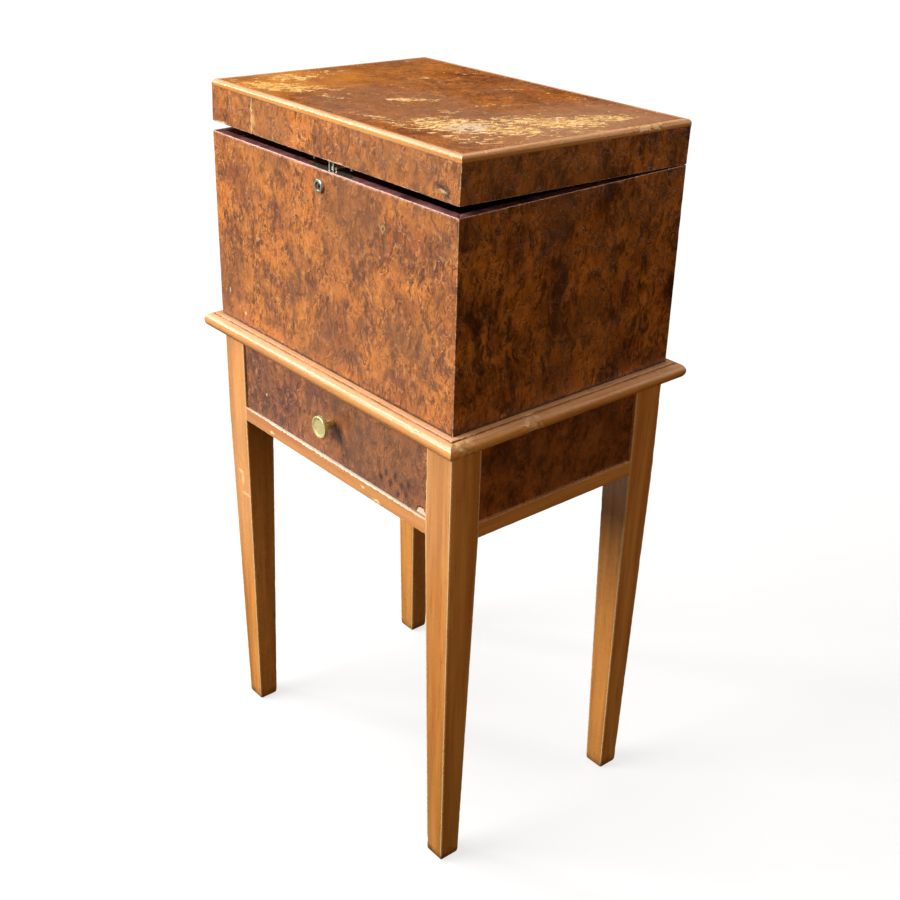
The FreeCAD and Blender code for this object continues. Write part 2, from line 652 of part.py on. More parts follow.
# ---------------------------------------------------------------- hinges
def make_leaf(name, middle, on_lid):
    """A leaf let into the wood, its neck and its knuckles."""
    z = ("lid_z", "lid_z + leaf_thick") if on_lid else ("rim_z - leaf_thick", "rim_z")
    start, end = f"{middle} - hinge_length / 2", f"{middle} + hinge_length / 2"
    if on_lid:
        knuckles = [(f"{middle} - hinge_middle / 2 + knuckle_gap / 2",
                     f"{middle} + hinge_middle / 2 - knuckle_gap / 2")]
    else:
        knuckles = [(start, f"{middle} - hinge_middle / 2 - knuckle_gap / 2"),
                    (f"{middle} + hinge_middle / 2 + knuckle_gap / 2", end)]
    pieces = [part_block(f"{name}_plate", (start, end), ("half_d - leaf_width", "half_d"), z)]
    bore = "pin_radius + pin_play" if on_lid else "pin_radius + pin_seat"
    for index, limits in enumerate(knuckles):
        pieces.append(part_block(f"{name}_neck_{index}", limits, ("half_d", "hinge_y"), z))
        pieces.append(part_rod(f"{name}_knuckle_{index}", "knuckle_radius", limits, "hinge_y", "hinge_z"))
    tools = [part_rod(f"{name}_bore", bore, (f"({start}) - 1", f"({end}) + 1"), "hinge_y", "hinge_z")]
    turn, face = (POINT_UP, "lid_z") if on_lid else (POINT_DOWN, "rim_z")
    for index, (x, y) in enumerate(leaf_screw_places(middle)):
        tools.append(leaf_hole(f"{name}_hole_{index}", x, y, face, turn))
    leaf = cut(name, fuse(f"{name}_blank", pieces), tools)
    if on_lid:
        place(leaf, lid=True)
    return leaf


def leaf_hole(name, x, y, face, turn):
    """The countersunk hole in a leaf, as deep as the leaf."""
    mouth = solid("Cone", f"{name}_mouth", Radius1="screw_shank + screw_play",
                  Radius2="screw_head + screw_play", Height="screw_cone")
    place(mouth, z="-screw_cone")
    bore = solid("Cylinder", f"{name}_bore", Radius="screw_shank + screw_play", Height="2 * leaf_thick")
    place(bore, z="-2 * leaf_thick")
    hole = fuse(name, [mouth, bore])
    place(hole, x, y, face, turn)
    return hole


def make_pin(name, middle):
    start, end = f"{middle} - hinge_length / 2", f"{middle} + hinge_length / 2"
    stem = part_rod(f"{name}_stem", "pin_radius", (start, end), "hinge_y", "hinge_z")
    heads = [part_rod(f"{name}_head_left", "pin_head", (f"({start}) - pin_head_thick", start),
                      "hinge_y", "hinge_z"),
             part_rod(f"{name}_head_right", "pin_head", (end, f"({end}) + pin_head_thick"),
                      "hinge_y", "hinge_z")]
    return fuse(name, [stem] + heads)


def make_hinges():
    group("hinge_box_leaves", [make_leaf(f"box_leaf_{n}", x, False) for n, x in hinge_places()])
    group("hinge_lid_leaves", [make_leaf(f"lid_leaf_{n}", x, True) for n, x in hinge_places()])
    group("hinge_pins", [make_pin(f"pin_{n}", x) for n, x in hinge_places()])
    for label, face, turn, on_lid in (("hinge_box_screws", "rim_z", POINT_DOWN, False),
                                      ("hinge_lid_screws", "lid_z", POINT_UP, True)):
        screws = []
        for name, middle in hinge_places():
            for index, (x, y) in enumerate(leaf_screw_places(middle)):
                screws.append(screw(f"{label}_{name}_{index}", *SMALL_SCREW, x, y, face, turn, on_lid))
        group(label, screws)


# ---------------------------------------------------------------- the lock
def lock_x(left, right):
    """A span measured from the middle of the lock."""
    return (f"lock_offset + ({left})", f"lock_offset + ({right})")


def below_rim(low, high):
    return (f"rim_z - ({low})", f"rim_z - ({high})")


def make_lock():
    """Top plate, back plate and a hollow case in one piece, with the bolt inside it."""
    case = new_body("lock_case")
    whole = lock_x("-lock_length / 2", "lock_length / 2")
    block(case, "top_plate", whole, ("plate_y", "wall_in_y"), below_rim("plate_thick", "0"))
    block(case, "back_plate_block", whole, ("back_plate_y", "wall_in_y"),
          below_rim("back_height", "plate_thick"))
    block(case, "case_block", lock_x("-case_left", "case_right"), ("case_y", "back_plate_y"),
          below_rim("case_depth", "plate_thick"))
    hollow_y = ("case_y + case_skin", "back_plate_y")
    block(case, "bolt_space", lock_x("case_skin - case_left", "case_right - case_skin"), hollow_y,
          below_rim("bolt_low + bolt_play", "plate_thick"), cut=True)
    block(case, "key_space", lock_x("case_skin - case_left", "3.5 - bolt_length"), hollow_y,
          below_rim("case_depth - case_skin", "bolt_low"), cut=True)
    slot_half = "link_spread / 2 + link_thick / 2 + link_play"
    block(case, "link_slot", lock_x(f"-({slot_half})", slot_half),
          ("link_mid_y - link_width / 2 - link_play", "link_mid_y + link_width / 2 + link_play"),
          below_rim(f"plate_thick + {MARGIN}", f"-{MARGIN}"), cut=True)
    for name, x in dowel_places():
        rod(case, f"dowel_slot_{name}", "dowel_radius + dowel_play", f"plate_thick + {2 * MARGIN}",
            x, "link_mid_y", f"rim_z - plate_thick - {MARGIN}", cut=True)
    cut_keyhole(case, "key_x", "key_z", f"case_y - {MARGIN}", "case_y + case_skin + 0.1", "case")
    rod(case, "drill_pin", "key_pin", "back_plate_y - case_y", "key_x", "back_plate_y", "key_z",
        turned("x", 90))
    screws = []
    for index, (x, z) in enumerate(lock_screw_places()):
        sizes = ("1.6 * back_plate", "back_plate", "0.8 * screw_shank", "0.6 * wall_thick")
        screws.append(screw(f"lock_screw_{index}", *sizes, x, "wall_in_y", z, POINT_FORWARD))
        screw_hole(case, f"lock_case_hole_{index}", *sizes, x, "wall_in_y", z, POINT_FORWARD)
        screw_hole(doc.getObject("box_front_wall"), f"lock_wall_hole_{index}", *sizes,
                   x, "wall_in_y", z, POINT_FORWARD)
    group("lock_screws", screws)
    make_bolt()
    make_collar()


def lock_screw_places():
    inset = "lock_length / 2 - 4"
    return [(f"lock_offset {side} ({inset})", "rim_z - back_height + 5") for side in "-+"]


def make_bolt():
    """A bolt whose finger passes through both links as it slides along X."""
    bolt = new_body("lock_bolt")
    tip, tail = "-bolt_rest", "-bolt_rest - bolt_length"
    full_y = ("case_y + case_skin + bolt_play", "back_plate_y - bolt_play")
    block(bolt, "bolt_bar_low", lock_x(tail, tip), full_y,
          below_rim("bolt_low", "bolt_low - bolt_bar"))
    block(bolt, "bolt_post", lock_x(tail, f"{tail} + 2"), full_y, below_rim("bolt_low", "finger_high"))
    block(bolt, "bolt_finger", lock_x(tail, tip),
          ("link_mid_y - finger_thick / 2", "link_mid_y + finger_thick / 2"),
          below_rim("finger_high + bolt_bar", "finger_high"))


def make_collar():
    """The round collar on the keyhole: a rounded rim round a sunk face with the keyhole in it."""
    collar = new_body("keyhole_collar")
    rod(collar, "collar_disc", "collar_radius", "collar_reach")
    soften(collar, "Fillet", "collar_edge", at_height(NUMBERS["collar_reach"]), Radius="collar_round")
    rod(collar, "collar_well_cut", "collar_well", f"collar_sink + {MARGIN}", z="collar_reach - collar_sink",
        cut=True)
    rod(collar, "collar_round_hole", "key_hole", "collar_reach + 2", z="-1", cut=True)
    block(collar, "collar_slot", ("-key_slot / 2", "key_slot / 2"), ("-key_reach + 1.6", "0"),
          ("-1", "collar_reach + 1"), cut=True)
    place(collar, "key_x", "-half_d", "key_z", turned("x", 90))


# ---------------------------------------------------------------- the lid
def make_lid():
    rails = {}
    for name, side in (("front", FRONT), ("right", RIGHT), ("back", BACK), ("left", LEFT)):
        rails[name] = square_strip(f"lid_{name}_rail", side, "half_w", "half_d", "wall_thick",
                                   ("lid_z", "bead_z"), lid=True)
        square_strip(f"lid_{name}_bead", side, "half_w", "half_d", "bead_size",
                     ("bead_z", "lid_top"), lid=True, rounded="bead_round")
    cut_leaf_recesses(rails["back"], ("lid_z", "lid_z + leaf_thick"), "lid_z", POINT_UP)
    inside_x = ("bead_size - half_w", "half_w - bead_size")
    inside_y = ("bead_size - half_d", "half_d - bead_size")
    board("lid_panel", inside_x, inside_y, ("bead_z", "veneer_z"), lid=True)
    board("lid_top_veneer", inside_x, inside_y, ("veneer_z", "lid_top"), lid=True)
    make_strike(rails["front"])


def make_strike(rail):
    """The strike plate below the lid's front rail, with two links and two dowels."""
    plate_x = lock_x("-lock_length / 2", "lock_length / 2")
    plate_span = ("plate_y", "wall_in_y - 0.5")
    block(rail, "strike_recess", plate_x, plate_span, (f"lid_z - {MARGIN}", "lid_z + leaf_thick"),
          cut=True)
    strike = new_body("strike_plate")
    block(strike, "strike_flat", plate_x, plate_span, ("lid_z", "lid_z + leaf_thick"))
    for name, side in (("left", "-"), ("right", "+")):
        x = lock_x(f"{side}link_spread / 2 - link_thick / 2", f"{side}link_spread / 2 + link_thick / 2")
        block(strike, f"link_{name}", x,
              ("link_mid_y - link_width / 2", "link_mid_y + link_width / 2"),
              ("lid_z - link_drop", "lid_z + leaf_thick / 2"))
        block(strike, f"eye_{name}", (f"({x[0]}) - {MARGIN}", f"({x[1]}) + {MARGIN}"),
              ("link_mid_y - eye_width / 2", "link_mid_y + eye_width / 2"),
              ("lid_z - eye_low", "lid_z - eye_high"), cut=True)
    for name, x in dowel_places():
        rod(strike, f"dowel_{name}", "dowel_radius", "dowel_drop + leaf_thick / 2", x, "link_mid_y",
            "lid_z - dowel_drop")
    screws = []
    for index, side in enumerate("-+"):
        x = f"lock_offset {side} dowel_spread / 4"
        screws.append(screw(f"strike_screw_{index}", *SMALL_SCREW, x, "link_mid_y", "lid_z", POINT_UP,
                            True))
        screw_hole(strike, f"strike_hole_{index}", *SMALL_SCREW, x, "link_mid_y", "lid_z", POINT_UP)
        screw_hole(rail, f"rail_hole_{index}", *SMALL_SCREW, x, "link_mid_y", "lid_z", POINT_UP)
    group("strike_screws", screws)
    place(strike, lid=True)


# ---------------------------------------------------------------- the drawer
def make_drawer():
    floor = ("drawer_floor_z", "drawer_floor_top")
    front = board("drawer_front", ("-drawer_half", "drawer_half"), ("drawer_face_y", "drawer_inside_y"),
                  ("rail_top + drawer_gap", "leg_height - drawer_gap"))
    block(front, "front_groove", ("-drawer_in_x - groove_depth", "drawer_in_x + groove_depth"),
          ("drawer_inside_y - groove_depth", f"drawer_inside_y + {MARGIN}"), floor, cut=True)
    for name, x, groove in (
            ("left", ("-drawer_half", "-drawer_in_x"), ("-drawer_in_x - groove_depth", "1 - drawer_in_x")),
            ("right", ("drawer_in_x", "drawer_half"), ("drawer_in_x - 1", "drawer_in_x + groove_depth"))):
        side = board(f"drawer_{name}_side", x, ("drawer_inside_y", "drawer_tail_y"),
                     ("drawer_low", "drawer_side_top"))
        block(side, f"{name}_groove", groove,
              (f"drawer_inside_y - {MARGIN}", f"drawer_tail_y + {MARGIN}"), floor, cut=True)
    board("drawer_back", ("-drawer_in_x", "drawer_in_x"),
          ("drawer_tail_y - drawer_side_thick", "drawer_tail_y"), ("drawer_floor_top", "drawer_side_top"))
    board("drawer_bottom", ("-drawer_in_x - groove_depth", "drawer_in_x + groove_depth"),
          ("drawer_inside_y - groove_depth", "drawer_tail_y"), floor)
    rod(front, "knob_hole", "bolt_shank + screw_play", f"drawer_front_thick + {2 * MARGIN}",
        "knob_offset", f"drawer_inside_y + {MARGIN}", "knob_z", turned("x", 90), cut=True)
    make_knob()


def make_knob():
    """A turned knob: a neck that flares into a disc with a dished face, drawn along +Z."""
    knob = new_body("drawer_knob")
    rod(knob, "knob_neck_rod", "knob_neck", "knob_reach - knob_disc")
    flare = knob.newObject("PartDesign::AdditiveCone", "knob_flare")
    bind(flare, Radius1="knob_neck", Radius2="knob_neck + 3", Height="3",
         Placement=f"placement(vector(0; 0; knob_reach - knob_disc - 3); {turned('z', 0)})")
    rod(knob, "knob_disc_rod", "knob_radius", "knob_disc", z="knob_reach - knob_disc")
    radius = NUMBERS["knob_radius"]

    def is_disc_edge(edge):
        return abs(edge.BoundBox.XLength - 2 * radius) < 0.01 and edge.BoundBox.ZLength < 0.01
    soften(knob, "Fillet", "knob_edge", is_disc_edge, Radius="knob_round")
    dish = knob.newObject("PartDesign::SubtractiveCone", "knob_dish_cut")
    bind(dish, Radius1="knob_radius - knob_rim - 2.5", Radius2="knob_radius - knob_rim",
         Height="knob_dish",
         Placement=f"placement(vector(0; 0; knob_reach - knob_dish); {turned('z', 0)})")
    rod(knob, "knob_screw_hole", "bolt_shank + screw_play", "bolt_grip + screw_play + 1", z="-1", cut=True)
    place(knob, "knob_offset", "drawer_face_y", "knob_z", turned("x", 90))

    head = solid("Cylinder", "knob_screw_head", Radius="bolt_head", Height="bolt_head_thick")
    place(head, z="-drawer_front_thick - bolt_head_thick")
    stem = solid("Cylinder", "knob_screw_stem", Radius="bolt_shank", Height="drawer_front_thick + bolt_grip")
    place(stem, z="-drawer_front_thick")
    knob_screw = keep(fuse("knob_screw", [head, stem]), "knob_screw")
    place(knob_screw, "knob_offset", "drawer_face_y", "knob_z", turned("x", 90))


# ---------------------------------------------------------------- the till
def make_till():
    """A half-length till that slides along X on ledges inside the box."""
    whole_x = ("till_left", "till_right")
    z = ("till_low", "till_top")
    board("till_front", whole_x, ("-till_y", "till_side - till_y"), z)
    board("till_back", whole_x, ("till_y - till_side", "till_y"), z)
    ends_y = ("till_side - till_y", "till_y - till_side")
    board("till_left_end", ("till_left", "till_left + till_side"), ends_y, z)
    board("till_right_end", ("till_right - till_side", "till_right"), ends_y, z)
    board("till_divider", ("till_left + till_side", "till_right - till_side"),
          ("-till_side / 2", "till_side / 2"), z)
    board("till_bottom", whole_x, ("-till_y", "till_y"), ("till_under", "till_low"))


# ---------------------------------------------------------------- check and write
def check_model():
    doc.recompute()
    for item in doc.Objects:
        if "Invalid" in item.State or "Error" in item.State:
            raise RuntimeError(f"{item.Label} failed: {item.State}")
    for item in nodes:
        if item.Shape.isNull() or not item.Shape.isValid():
            raise RuntimeError(f"{item.Label} has no valid shape")


def write_model():
    os.makedirs("parts", exist_ok=True)
    for item in nodes:
        item.Shape.exportStep(os.path.join("parts", f"{item.Label}.step"))
    print(f"{len(nodes)} sub-parts written")


def main():
    write_sheet()
    make_stand()
    make_box()
    make_hinges()
    make_lock()
    make_lid()
    make_drawer()
    make_till()
    check_model()
    write_model()


main()
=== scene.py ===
import json
import math

import bmesh
import bpy
from mathutils import Matrix, Vector, noise

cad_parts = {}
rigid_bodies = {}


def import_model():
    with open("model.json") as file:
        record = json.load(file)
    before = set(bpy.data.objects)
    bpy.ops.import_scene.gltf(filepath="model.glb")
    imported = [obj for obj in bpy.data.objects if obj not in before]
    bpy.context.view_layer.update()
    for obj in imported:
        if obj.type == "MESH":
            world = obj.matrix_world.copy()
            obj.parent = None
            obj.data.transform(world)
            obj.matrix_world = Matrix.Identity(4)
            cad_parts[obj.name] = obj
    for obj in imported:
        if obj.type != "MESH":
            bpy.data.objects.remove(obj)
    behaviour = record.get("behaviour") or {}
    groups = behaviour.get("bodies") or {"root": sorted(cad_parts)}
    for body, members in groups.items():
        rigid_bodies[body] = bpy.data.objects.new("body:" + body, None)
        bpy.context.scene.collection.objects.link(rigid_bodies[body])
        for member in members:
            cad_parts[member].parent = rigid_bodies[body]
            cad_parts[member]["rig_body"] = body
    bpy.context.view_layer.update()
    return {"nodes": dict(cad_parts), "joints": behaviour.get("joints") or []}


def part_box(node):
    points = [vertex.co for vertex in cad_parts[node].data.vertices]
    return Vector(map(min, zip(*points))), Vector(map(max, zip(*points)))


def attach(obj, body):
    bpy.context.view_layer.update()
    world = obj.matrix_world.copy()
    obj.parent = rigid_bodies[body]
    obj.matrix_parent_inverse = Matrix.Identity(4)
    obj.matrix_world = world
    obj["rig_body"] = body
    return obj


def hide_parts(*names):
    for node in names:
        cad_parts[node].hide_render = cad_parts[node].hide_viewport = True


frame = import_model()

# ---------------------------------------------------------------- measures, in metres
MM = 0.001
NODES = frame["nodes"]
BODY_OF = {name: node["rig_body"] for name, node in NODES.items()}
SLOT_OF = {name: node.data.materials[0].name for name, node in NODES.items()}

HINGE = next(joint for joint in frame["joints"] if joint["name"] == "lid_hinge")
HINGE_PLACE = Matrix.Translation(Vector(HINGE["pos_m"]))
AJAR = math.radians(-HINGE["range_deg"][0])
SWING = HINGE_PLACE @ Matrix.Rotation(AJAR, 4, Vector(HINGE["axis"])) @ HINGE_PLACE.inverted()
CLOSE = SWING.inverted()

HALF_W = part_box("box_front_wall")[1].x
HALF_D = -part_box("box_front_wall")[0].y
LEDGE_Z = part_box("box_front_wall")[0].z
RIM_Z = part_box("box_front_wall")[1].z
TOP_UNDER_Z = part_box("front_moulding")[0].z
NOSE_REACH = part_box("front_moulding")[1].x - HALF_W
MOULDING_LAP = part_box("front_moulding")[1].y + HALF_D
LID_HEIGHT = 44 * MM
LID_GAP = 0.4 * MM
LID_LOW = RIM_Z + LID_GAP
LID_TOP = RIM_Z + LID_HEIGHT
BEAD = 7 * MM
BEAD_ROUND = 4 * MM
LEDGE_WIDTH = 6 * MM
QUIRK = 1.2 * MM
VENEER = 0.8 * MM
LEG_TOP = TOP_UNDER_Z
LEG_TAPER_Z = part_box("drawer_rail")[0].z
LEG_FOOT = 24 * MM
FOOT_ROUND = 6 * MM
SURFACE = 0.02 * MM  # how near a vertex has to be to count as lying on a face

FRONT, RIGHT, BACK, LEFT = "front", "right", "back", "left"
SIDES = (FRONT, RIGHT, BACK, LEFT)
TURN = {FRONT: 0, RIGHT: 90, BACK: 180, LEFT: 270}


# ---------------------------------------------------------------- material nodes
class Wiring:
    """A material being wired up. Each method adds a node and returns its output."""

    def __init__(self, name):
        self.material = bpy.data.materials.new(name)
        self.material.use_nodes = True
        self.tree = self.material.node_tree
        self.tree.nodes.clear()
        self.shader = self.tree.nodes.new("ShaderNodeBsdfPrincipled")
        self.output = self.tree.nodes.new("ShaderNodeOutputMaterial")
        self.tree.links.new(self.shader.outputs[0], self.output.inputs[0])
        self.place = self.tree.nodes.new("ShaderNodeTexCoord").outputs["Object"]

    def feed(self, socket, value):
        if isinstance(value, bpy.types.NodeSocket):
            self.tree.links.new(value, socket)
        else:
            socket.default_value = value

    def node(self, kind, settings, inputs, output=0):
        made = self.tree.nodes.new(kind)
        for name, value in settings.items():
            setattr(made, name, value)
        for name, value in inputs.items():
            self.feed(made.inputs[name], value)
        return made.outputs[output]

    def math(self, operation, first, second=0.0, third=0.0):
        inputs = {0: first, 1: second, 2: third}
        return self.node("ShaderNodeMath", {"operation": operation}, inputs)

    def vector(self, operation, first, second):
        return self.node("ShaderNodeVectorMath", {"operation": operation}, {0: first, 1: second})

    def mix(self, share, first, second, blend="MIX"):
        first = first if isinstance(first, bpy.types.NodeSocket) else (*first, 1)
        second = second if isinstance(second, bpy.types.NodeSocket) else (*second, 1)
        settings = {"data_type": "RGBA", "blend_type": blend}
        return self.node("ShaderNodeMix", settings, {0: share, 6: first, 7: second}, 2)

    def noise(self, at, scale, detail=2.0, roughness=0.5, distortion=0.0, output=0):
        inputs = {"Vector": at, "Scale": scale, "Detail": detail, "Roughness": roughness}
        inputs["Distortion"] = distortion
        return self.node("ShaderNodeTexNoise", {}, inputs, output)

    def cells(self, at, scale, output="Distance"):
        return self.node("ShaderNodeTexVoronoi", {}, {"Vector": at, "Scale": scale}, output)

    def ramp(self, value, low, high, start=0.0, end=1.0):
        settings = {"interpolation_type": "SMOOTHSTEP", "clamp": True}
        inputs = {"Value": value, "From Min": low, "From Max": high, "To Min": start, "To Max": end}
        return self.node("ShaderNodeMapRange", settings, inputs)

    def scaled(self, at, scale, turn=(0, 0, 0)):
        inputs = {"Vector": at, "Scale": scale, "Rotation": turn}
        return self.node("ShaderNodeMapping", {}, inputs)

    def warped(self, at, scale, amount, detail=1.0):
        push = self.vector("SUBTRACT", self.noise(at, scale, detail, output=1), (0.5, 0.5, 0.5))
        push = self.node("ShaderNodeVectorMath", {"operation": "SCALE"}, {0: push, "Scale": amount})
        return self.vector("ADD", at, push)

    def spot(self, centre, size, softness=0.35):
        """1 inside an uneven patch round a point, 0 outside."""
        away = self.vector("SUBTRACT", self.warped(self.place, 260, 0.005, 2), centre)
        away = self.vector("DIVIDE", away, size)
        reach = self.node("ShaderNodeVectorMath", {"operation": "LENGTH"}, {0: away}, 1)
        return self.ramp(reach, 1 + softness, max(0.0, 1 - softness))

    def upward(self, low=0.1, high=0.8):
        """1 on faces that look up, 0 on upright ones."""
        normal = self.tree.nodes.new("ShaderNodeTexCoord").outputs["Normal"]
        height = self.node("ShaderNodeSeparateXYZ", {}, {0: normal}, 2)
        return self.ramp(height, low, high)

    def attribute(self, name):
        return self.node("ShaderNodeAttribute", {"attribute_name": name}, {}, "Fac")

    def bump(self, height, distance, strength=1.0):
        inputs = {"Height": height, "Distance": distance, "Strength": strength}
        self.feed(self.shader.inputs["Normal"], self.node("ShaderNodeBump", {}, inputs))

    def finish(self, colour, roughness, metallic=0.0, coat=0.0, coat_roughness=0.1, specular=0.5):
        self.feed(self.shader.inputs["Base Color"], colour)
        self.feed(self.shader.inputs["Roughness"], roughness)
        self.shader.inputs["Metallic"].default_value = metallic
        self.shader.inputs["Coat Weight"].default_value = coat
        self.shader.inputs["Coat Roughness"].default_value = coat_roughness
        self.shader.inputs["Specular IOR Level"].default_value = specular
        return self.material


# ---------------------------------------------------------------- wood materials
ORANGE = (0.74, 0.238, 0.038)
BROWN = (0.37, 0.110, 0.028)
OLIVE = (0.32, 0.130, 0.045)
MOTTLE = (0.115, 0.043, 0.024)
EYE = (0.050, 0.018, 0.011)
FLECK_AND_HIGHLIGHT = (0.86, 0.46, 0.20)
BARE = (0.86, 0.57, 0.36)


def burl_figure(wiring, light, brown, mottle, depth, crisp=1.0, fleck_and_highlight=FLECK_AND_HIGHLIGHT):
    """The figure of burl veneer: clouds, dark mottles, crinkle with pale flecks that are partly a painted
    highlight, curls and eyes. Returns colour, height.
    """
    flow = wiring.warped(wiring.place, 14, 0.022, 2)
    swirl = wiring.warped(flow, 70, 0.008, 2)
    leaning = wiring.scaled(swirl, (1, 1, 0.48), (0.3, 0.3, 0))
    clouds = wiring.ramp(wiring.noise(flow, 24, 4, 0.62), 0.32, 0.70)
    colour = wiring.mix(clouds, light, brown)

    clusters = wiring.noise(flow, 30, 2, 0.5)
    smudges = wiring.noise(leaning, 100, 5, 0.68, 0.6)
    smudges = wiring.math("ADD", smudges, wiring.math("MULTIPLY", clusters, 0.55))
    smudges = wiring.ramp(smudges, 0.69, 0.98)
    colour = wiring.mix(wiring.math("MULTIPLY", smudges, depth), colour, mottle)

    crinkle = wiring.noise(leaning, 215, 4, 0.62, 1.6)
    strength = wiring.ramp(wiring.noise(swirl, 55, 2), 0.36, 0.60, 0.30 * crisp, crisp)
    dark = wiring.math("MULTIPLY", wiring.ramp(crinkle, 0.49, 0.38), strength)
    colour = wiring.mix(wiring.math("MULTIPLY", dark, 0.9), colour, mottle)
    # Pale flecks on the crinkle's high points: partly the veneer's own flecks, partly a painted highlight on
    # its relief.
    pale = wiring.math("MULTIPLY", wiring.ramp(crinkle, 0.54, 0.62), strength)
    pale = wiring.math("MULTIPLY", pale, wiring.ramp(smudges, 1.0, 0.2, 0.35, 1.0))
    colour = wiring.mix(wiring.math("MULTIPLY", pale, 0.42), colour, fleck_and_highlight)

    strokes = wiring.noise(wiring.scaled(swirl, (1, 1, 0.36), (0.35, 0.35, 0)), 125, 2, 0.55, 0.8)
    strokes = wiring.ramp(strokes, 0.60, 0.68)
    colour = wiring.mix(wiring.math("MULTIPLY", strokes, 0.75 * crisp), colour, mottle)

    veins = wiring.noise(wiring.scaled(swirl, (1, 1, 0.20), (0.30, 0.30, 0)), 62, 4, 0.62, 0.5)
    veins = wiring.ramp(veins, 0.58, 0.70)
    colour = wiring.mix(wiring.math("MULTIPLY", veins, 0.7 * crisp * depth), colour, mottle)

    rings = wiring.math("SINE", wiring.math("MULTIPLY", wiring.noise(swirl, 60, 1, 0.5), 90))
    curls = wiring.ramp(rings, 0.45, 1.0)
    curls = wiring.math("MULTIPLY", curls, wiring.ramp(wiring.noise(swirl, 90, 2), 0.44, 0.62))
    colour = wiring.mix(wiring.math("MULTIPLY", curls, 0.45 * depth), colour, mottle)

    cell = wiring.cells(wiring.warped(swirl, 260, 0.002), 150)
    ring = wiring.ramp(wiring.math("ABSOLUTE", wiring.math("SUBTRACT", cell, 0.24)), 0.10, 0.02)
    ring = wiring.math("MULTIPLY", ring, wiring.ramp(wiring.noise(flow, 45, 1), 0.52, 0.62))
    colour = wiring.mix(wiring.math("MULTIPLY", ring, 0.7 * depth), colour, EYE)
    height = wiring.math("MULTIPLY", crinkle, strength)
    sunk = wiring.math("ADD", wiring.math("MULTIPLY", curls, 0.12), wiring.math("MULTIPLY", strokes, 0.15))
    height = wiring.math("SUBTRACT", height, sunk)
    return colour, height


def tint_arrises(wiring, colour, bare_wood_and_gap_shade, low=0.55, high=0.85, most=0.85):
    """Colour the arrises by the piece's edge attribute broken up with noise: worn-through wood on most
    pieces, painted shade of the gap round the drawer on the drawer's face.
    """
    breakup = wiring.noise(wiring.place, 260, 4, 0.65)
    breakup = wiring.math("MULTIPLY", wiring.math("SUBTRACT", breakup, 0.5), 1.6)
    reach = wiring.math("ADD", wiring.attribute("edge"), breakup)
    share = wiring.ramp(reach, low, high, 0, most)
    return wiring.mix(share, colour, bare_wood_and_gap_shade), share


def burl(name, light=ORANGE, brown=BROWN, mottle=MOTTLE, depth=0.8, crisp=1.0, gloss=0.24, marks=(),
         fleck_and_highlight=FLECK_AND_HIGHLIGHT, bare_wood_and_gap_shade=BARE, edge_tint_from=0.55):
    """Polished burl veneer. Each mark is a patch of another colour: centre, size, softness, colour."""
    wiring = Wiring(name)
    colour, height = burl_figure(wiring, light, brown, mottle, depth, crisp, fleck_and_highlight)
    tired = wiring.ramp(wiring.noise(wiring.place, 7, 2, 0.5), 0.42, 0.62, 0, 0.4)
    colour = wiring.mix(wiring.math("MULTIPLY", tired, min(1.0, crisp)), colour, OLIVE)
    for centre, size, softness, shade in marks:
        colour = wiring.mix(wiring.spot(centre, size, softness), colour, shade)
    colour, worn = tint_arrises(wiring, colour, bare_wood_and_gap_shade, edge_tint_from, edge_tint_from + 0.3)
    roughness = wiring.ramp(wiring.noise(wiring.place, 35, 4, 0.6), 0.3, 0.75, gloss, gloss + 0.2)
    roughness = wiring.math("ADD", roughness, wiring.math("MULTIPLY", worn, 0.3))
    wiring.bump(height, 2.0 * MM, 0.6)
    return wiring.finish(colour, roughness, coat=0.15, coat_roughness=0.12, specular=0.35)


GRAIN_ALONG = {"x": (0.045, 1, 1), "y": (1, 0.045, 1), "z": (1, 1, 0.045)}


def straight_grain(wiring, along, pale, deep, line):
    """Straight-grained wood: broad tone, growth lines and short pores. Returns colour, height."""
    bent = wiring.warped(wiring.place, 7, 0.006, 1)
    fibre = wiring.scaled(bent, GRAIN_ALONG[along])
    tone = wiring.noise(fibre, 60, 3, 0.55)
    colour = wiring.mix(wiring.ramp(tone, 0.32, 0.70), pale, deep)
    lines = wiring.noise(fibre, 300, 4, 0.65)
    colour = wiring.mix(wiring.ramp(lines, 0.50, 0.72, 0, 0.42), colour, line)
    pores = wiring.ramp(wiring.noise(fibre, 900, 2, 0.5), 0.62, 0.72)
    colour = wiring.mix(wiring.math("MULTIPLY", pores, 0.22), colour, line)
    darkening = wiring.ramp(wiring.noise(fibre, 26, 3, 0.6), 0.50, 0.72, 0, 0.34)
    colour = wiring.mix(darkening, colour, line)
    height = wiring.math("SUBTRACT", lines, pores)
    return colour, height


LIGHT_PALE = (0.90, 0.385, 0.096)
LIGHT_DEEP = (0.60, 0.208, 0.042)
LIGHT_OLIVE = (0.55, 0.250, 0.054)
LIGHT_LINE = (0.30, 0.085, 0.022)
# Paler colour painted on the light wood where it looks up: a painted sheen.
LIGHT_PAINTED_SHEEN = (0.94, 0.54, 0.32)
LIGHT_BARE = (0.98, 0.68, 0.34)
# Darkens the soiled feet, and paints shade into the creases of the mouldings and beads.
DIRT_AND_PAINTED_SHADE = (0.16, 0.055, 0.018)


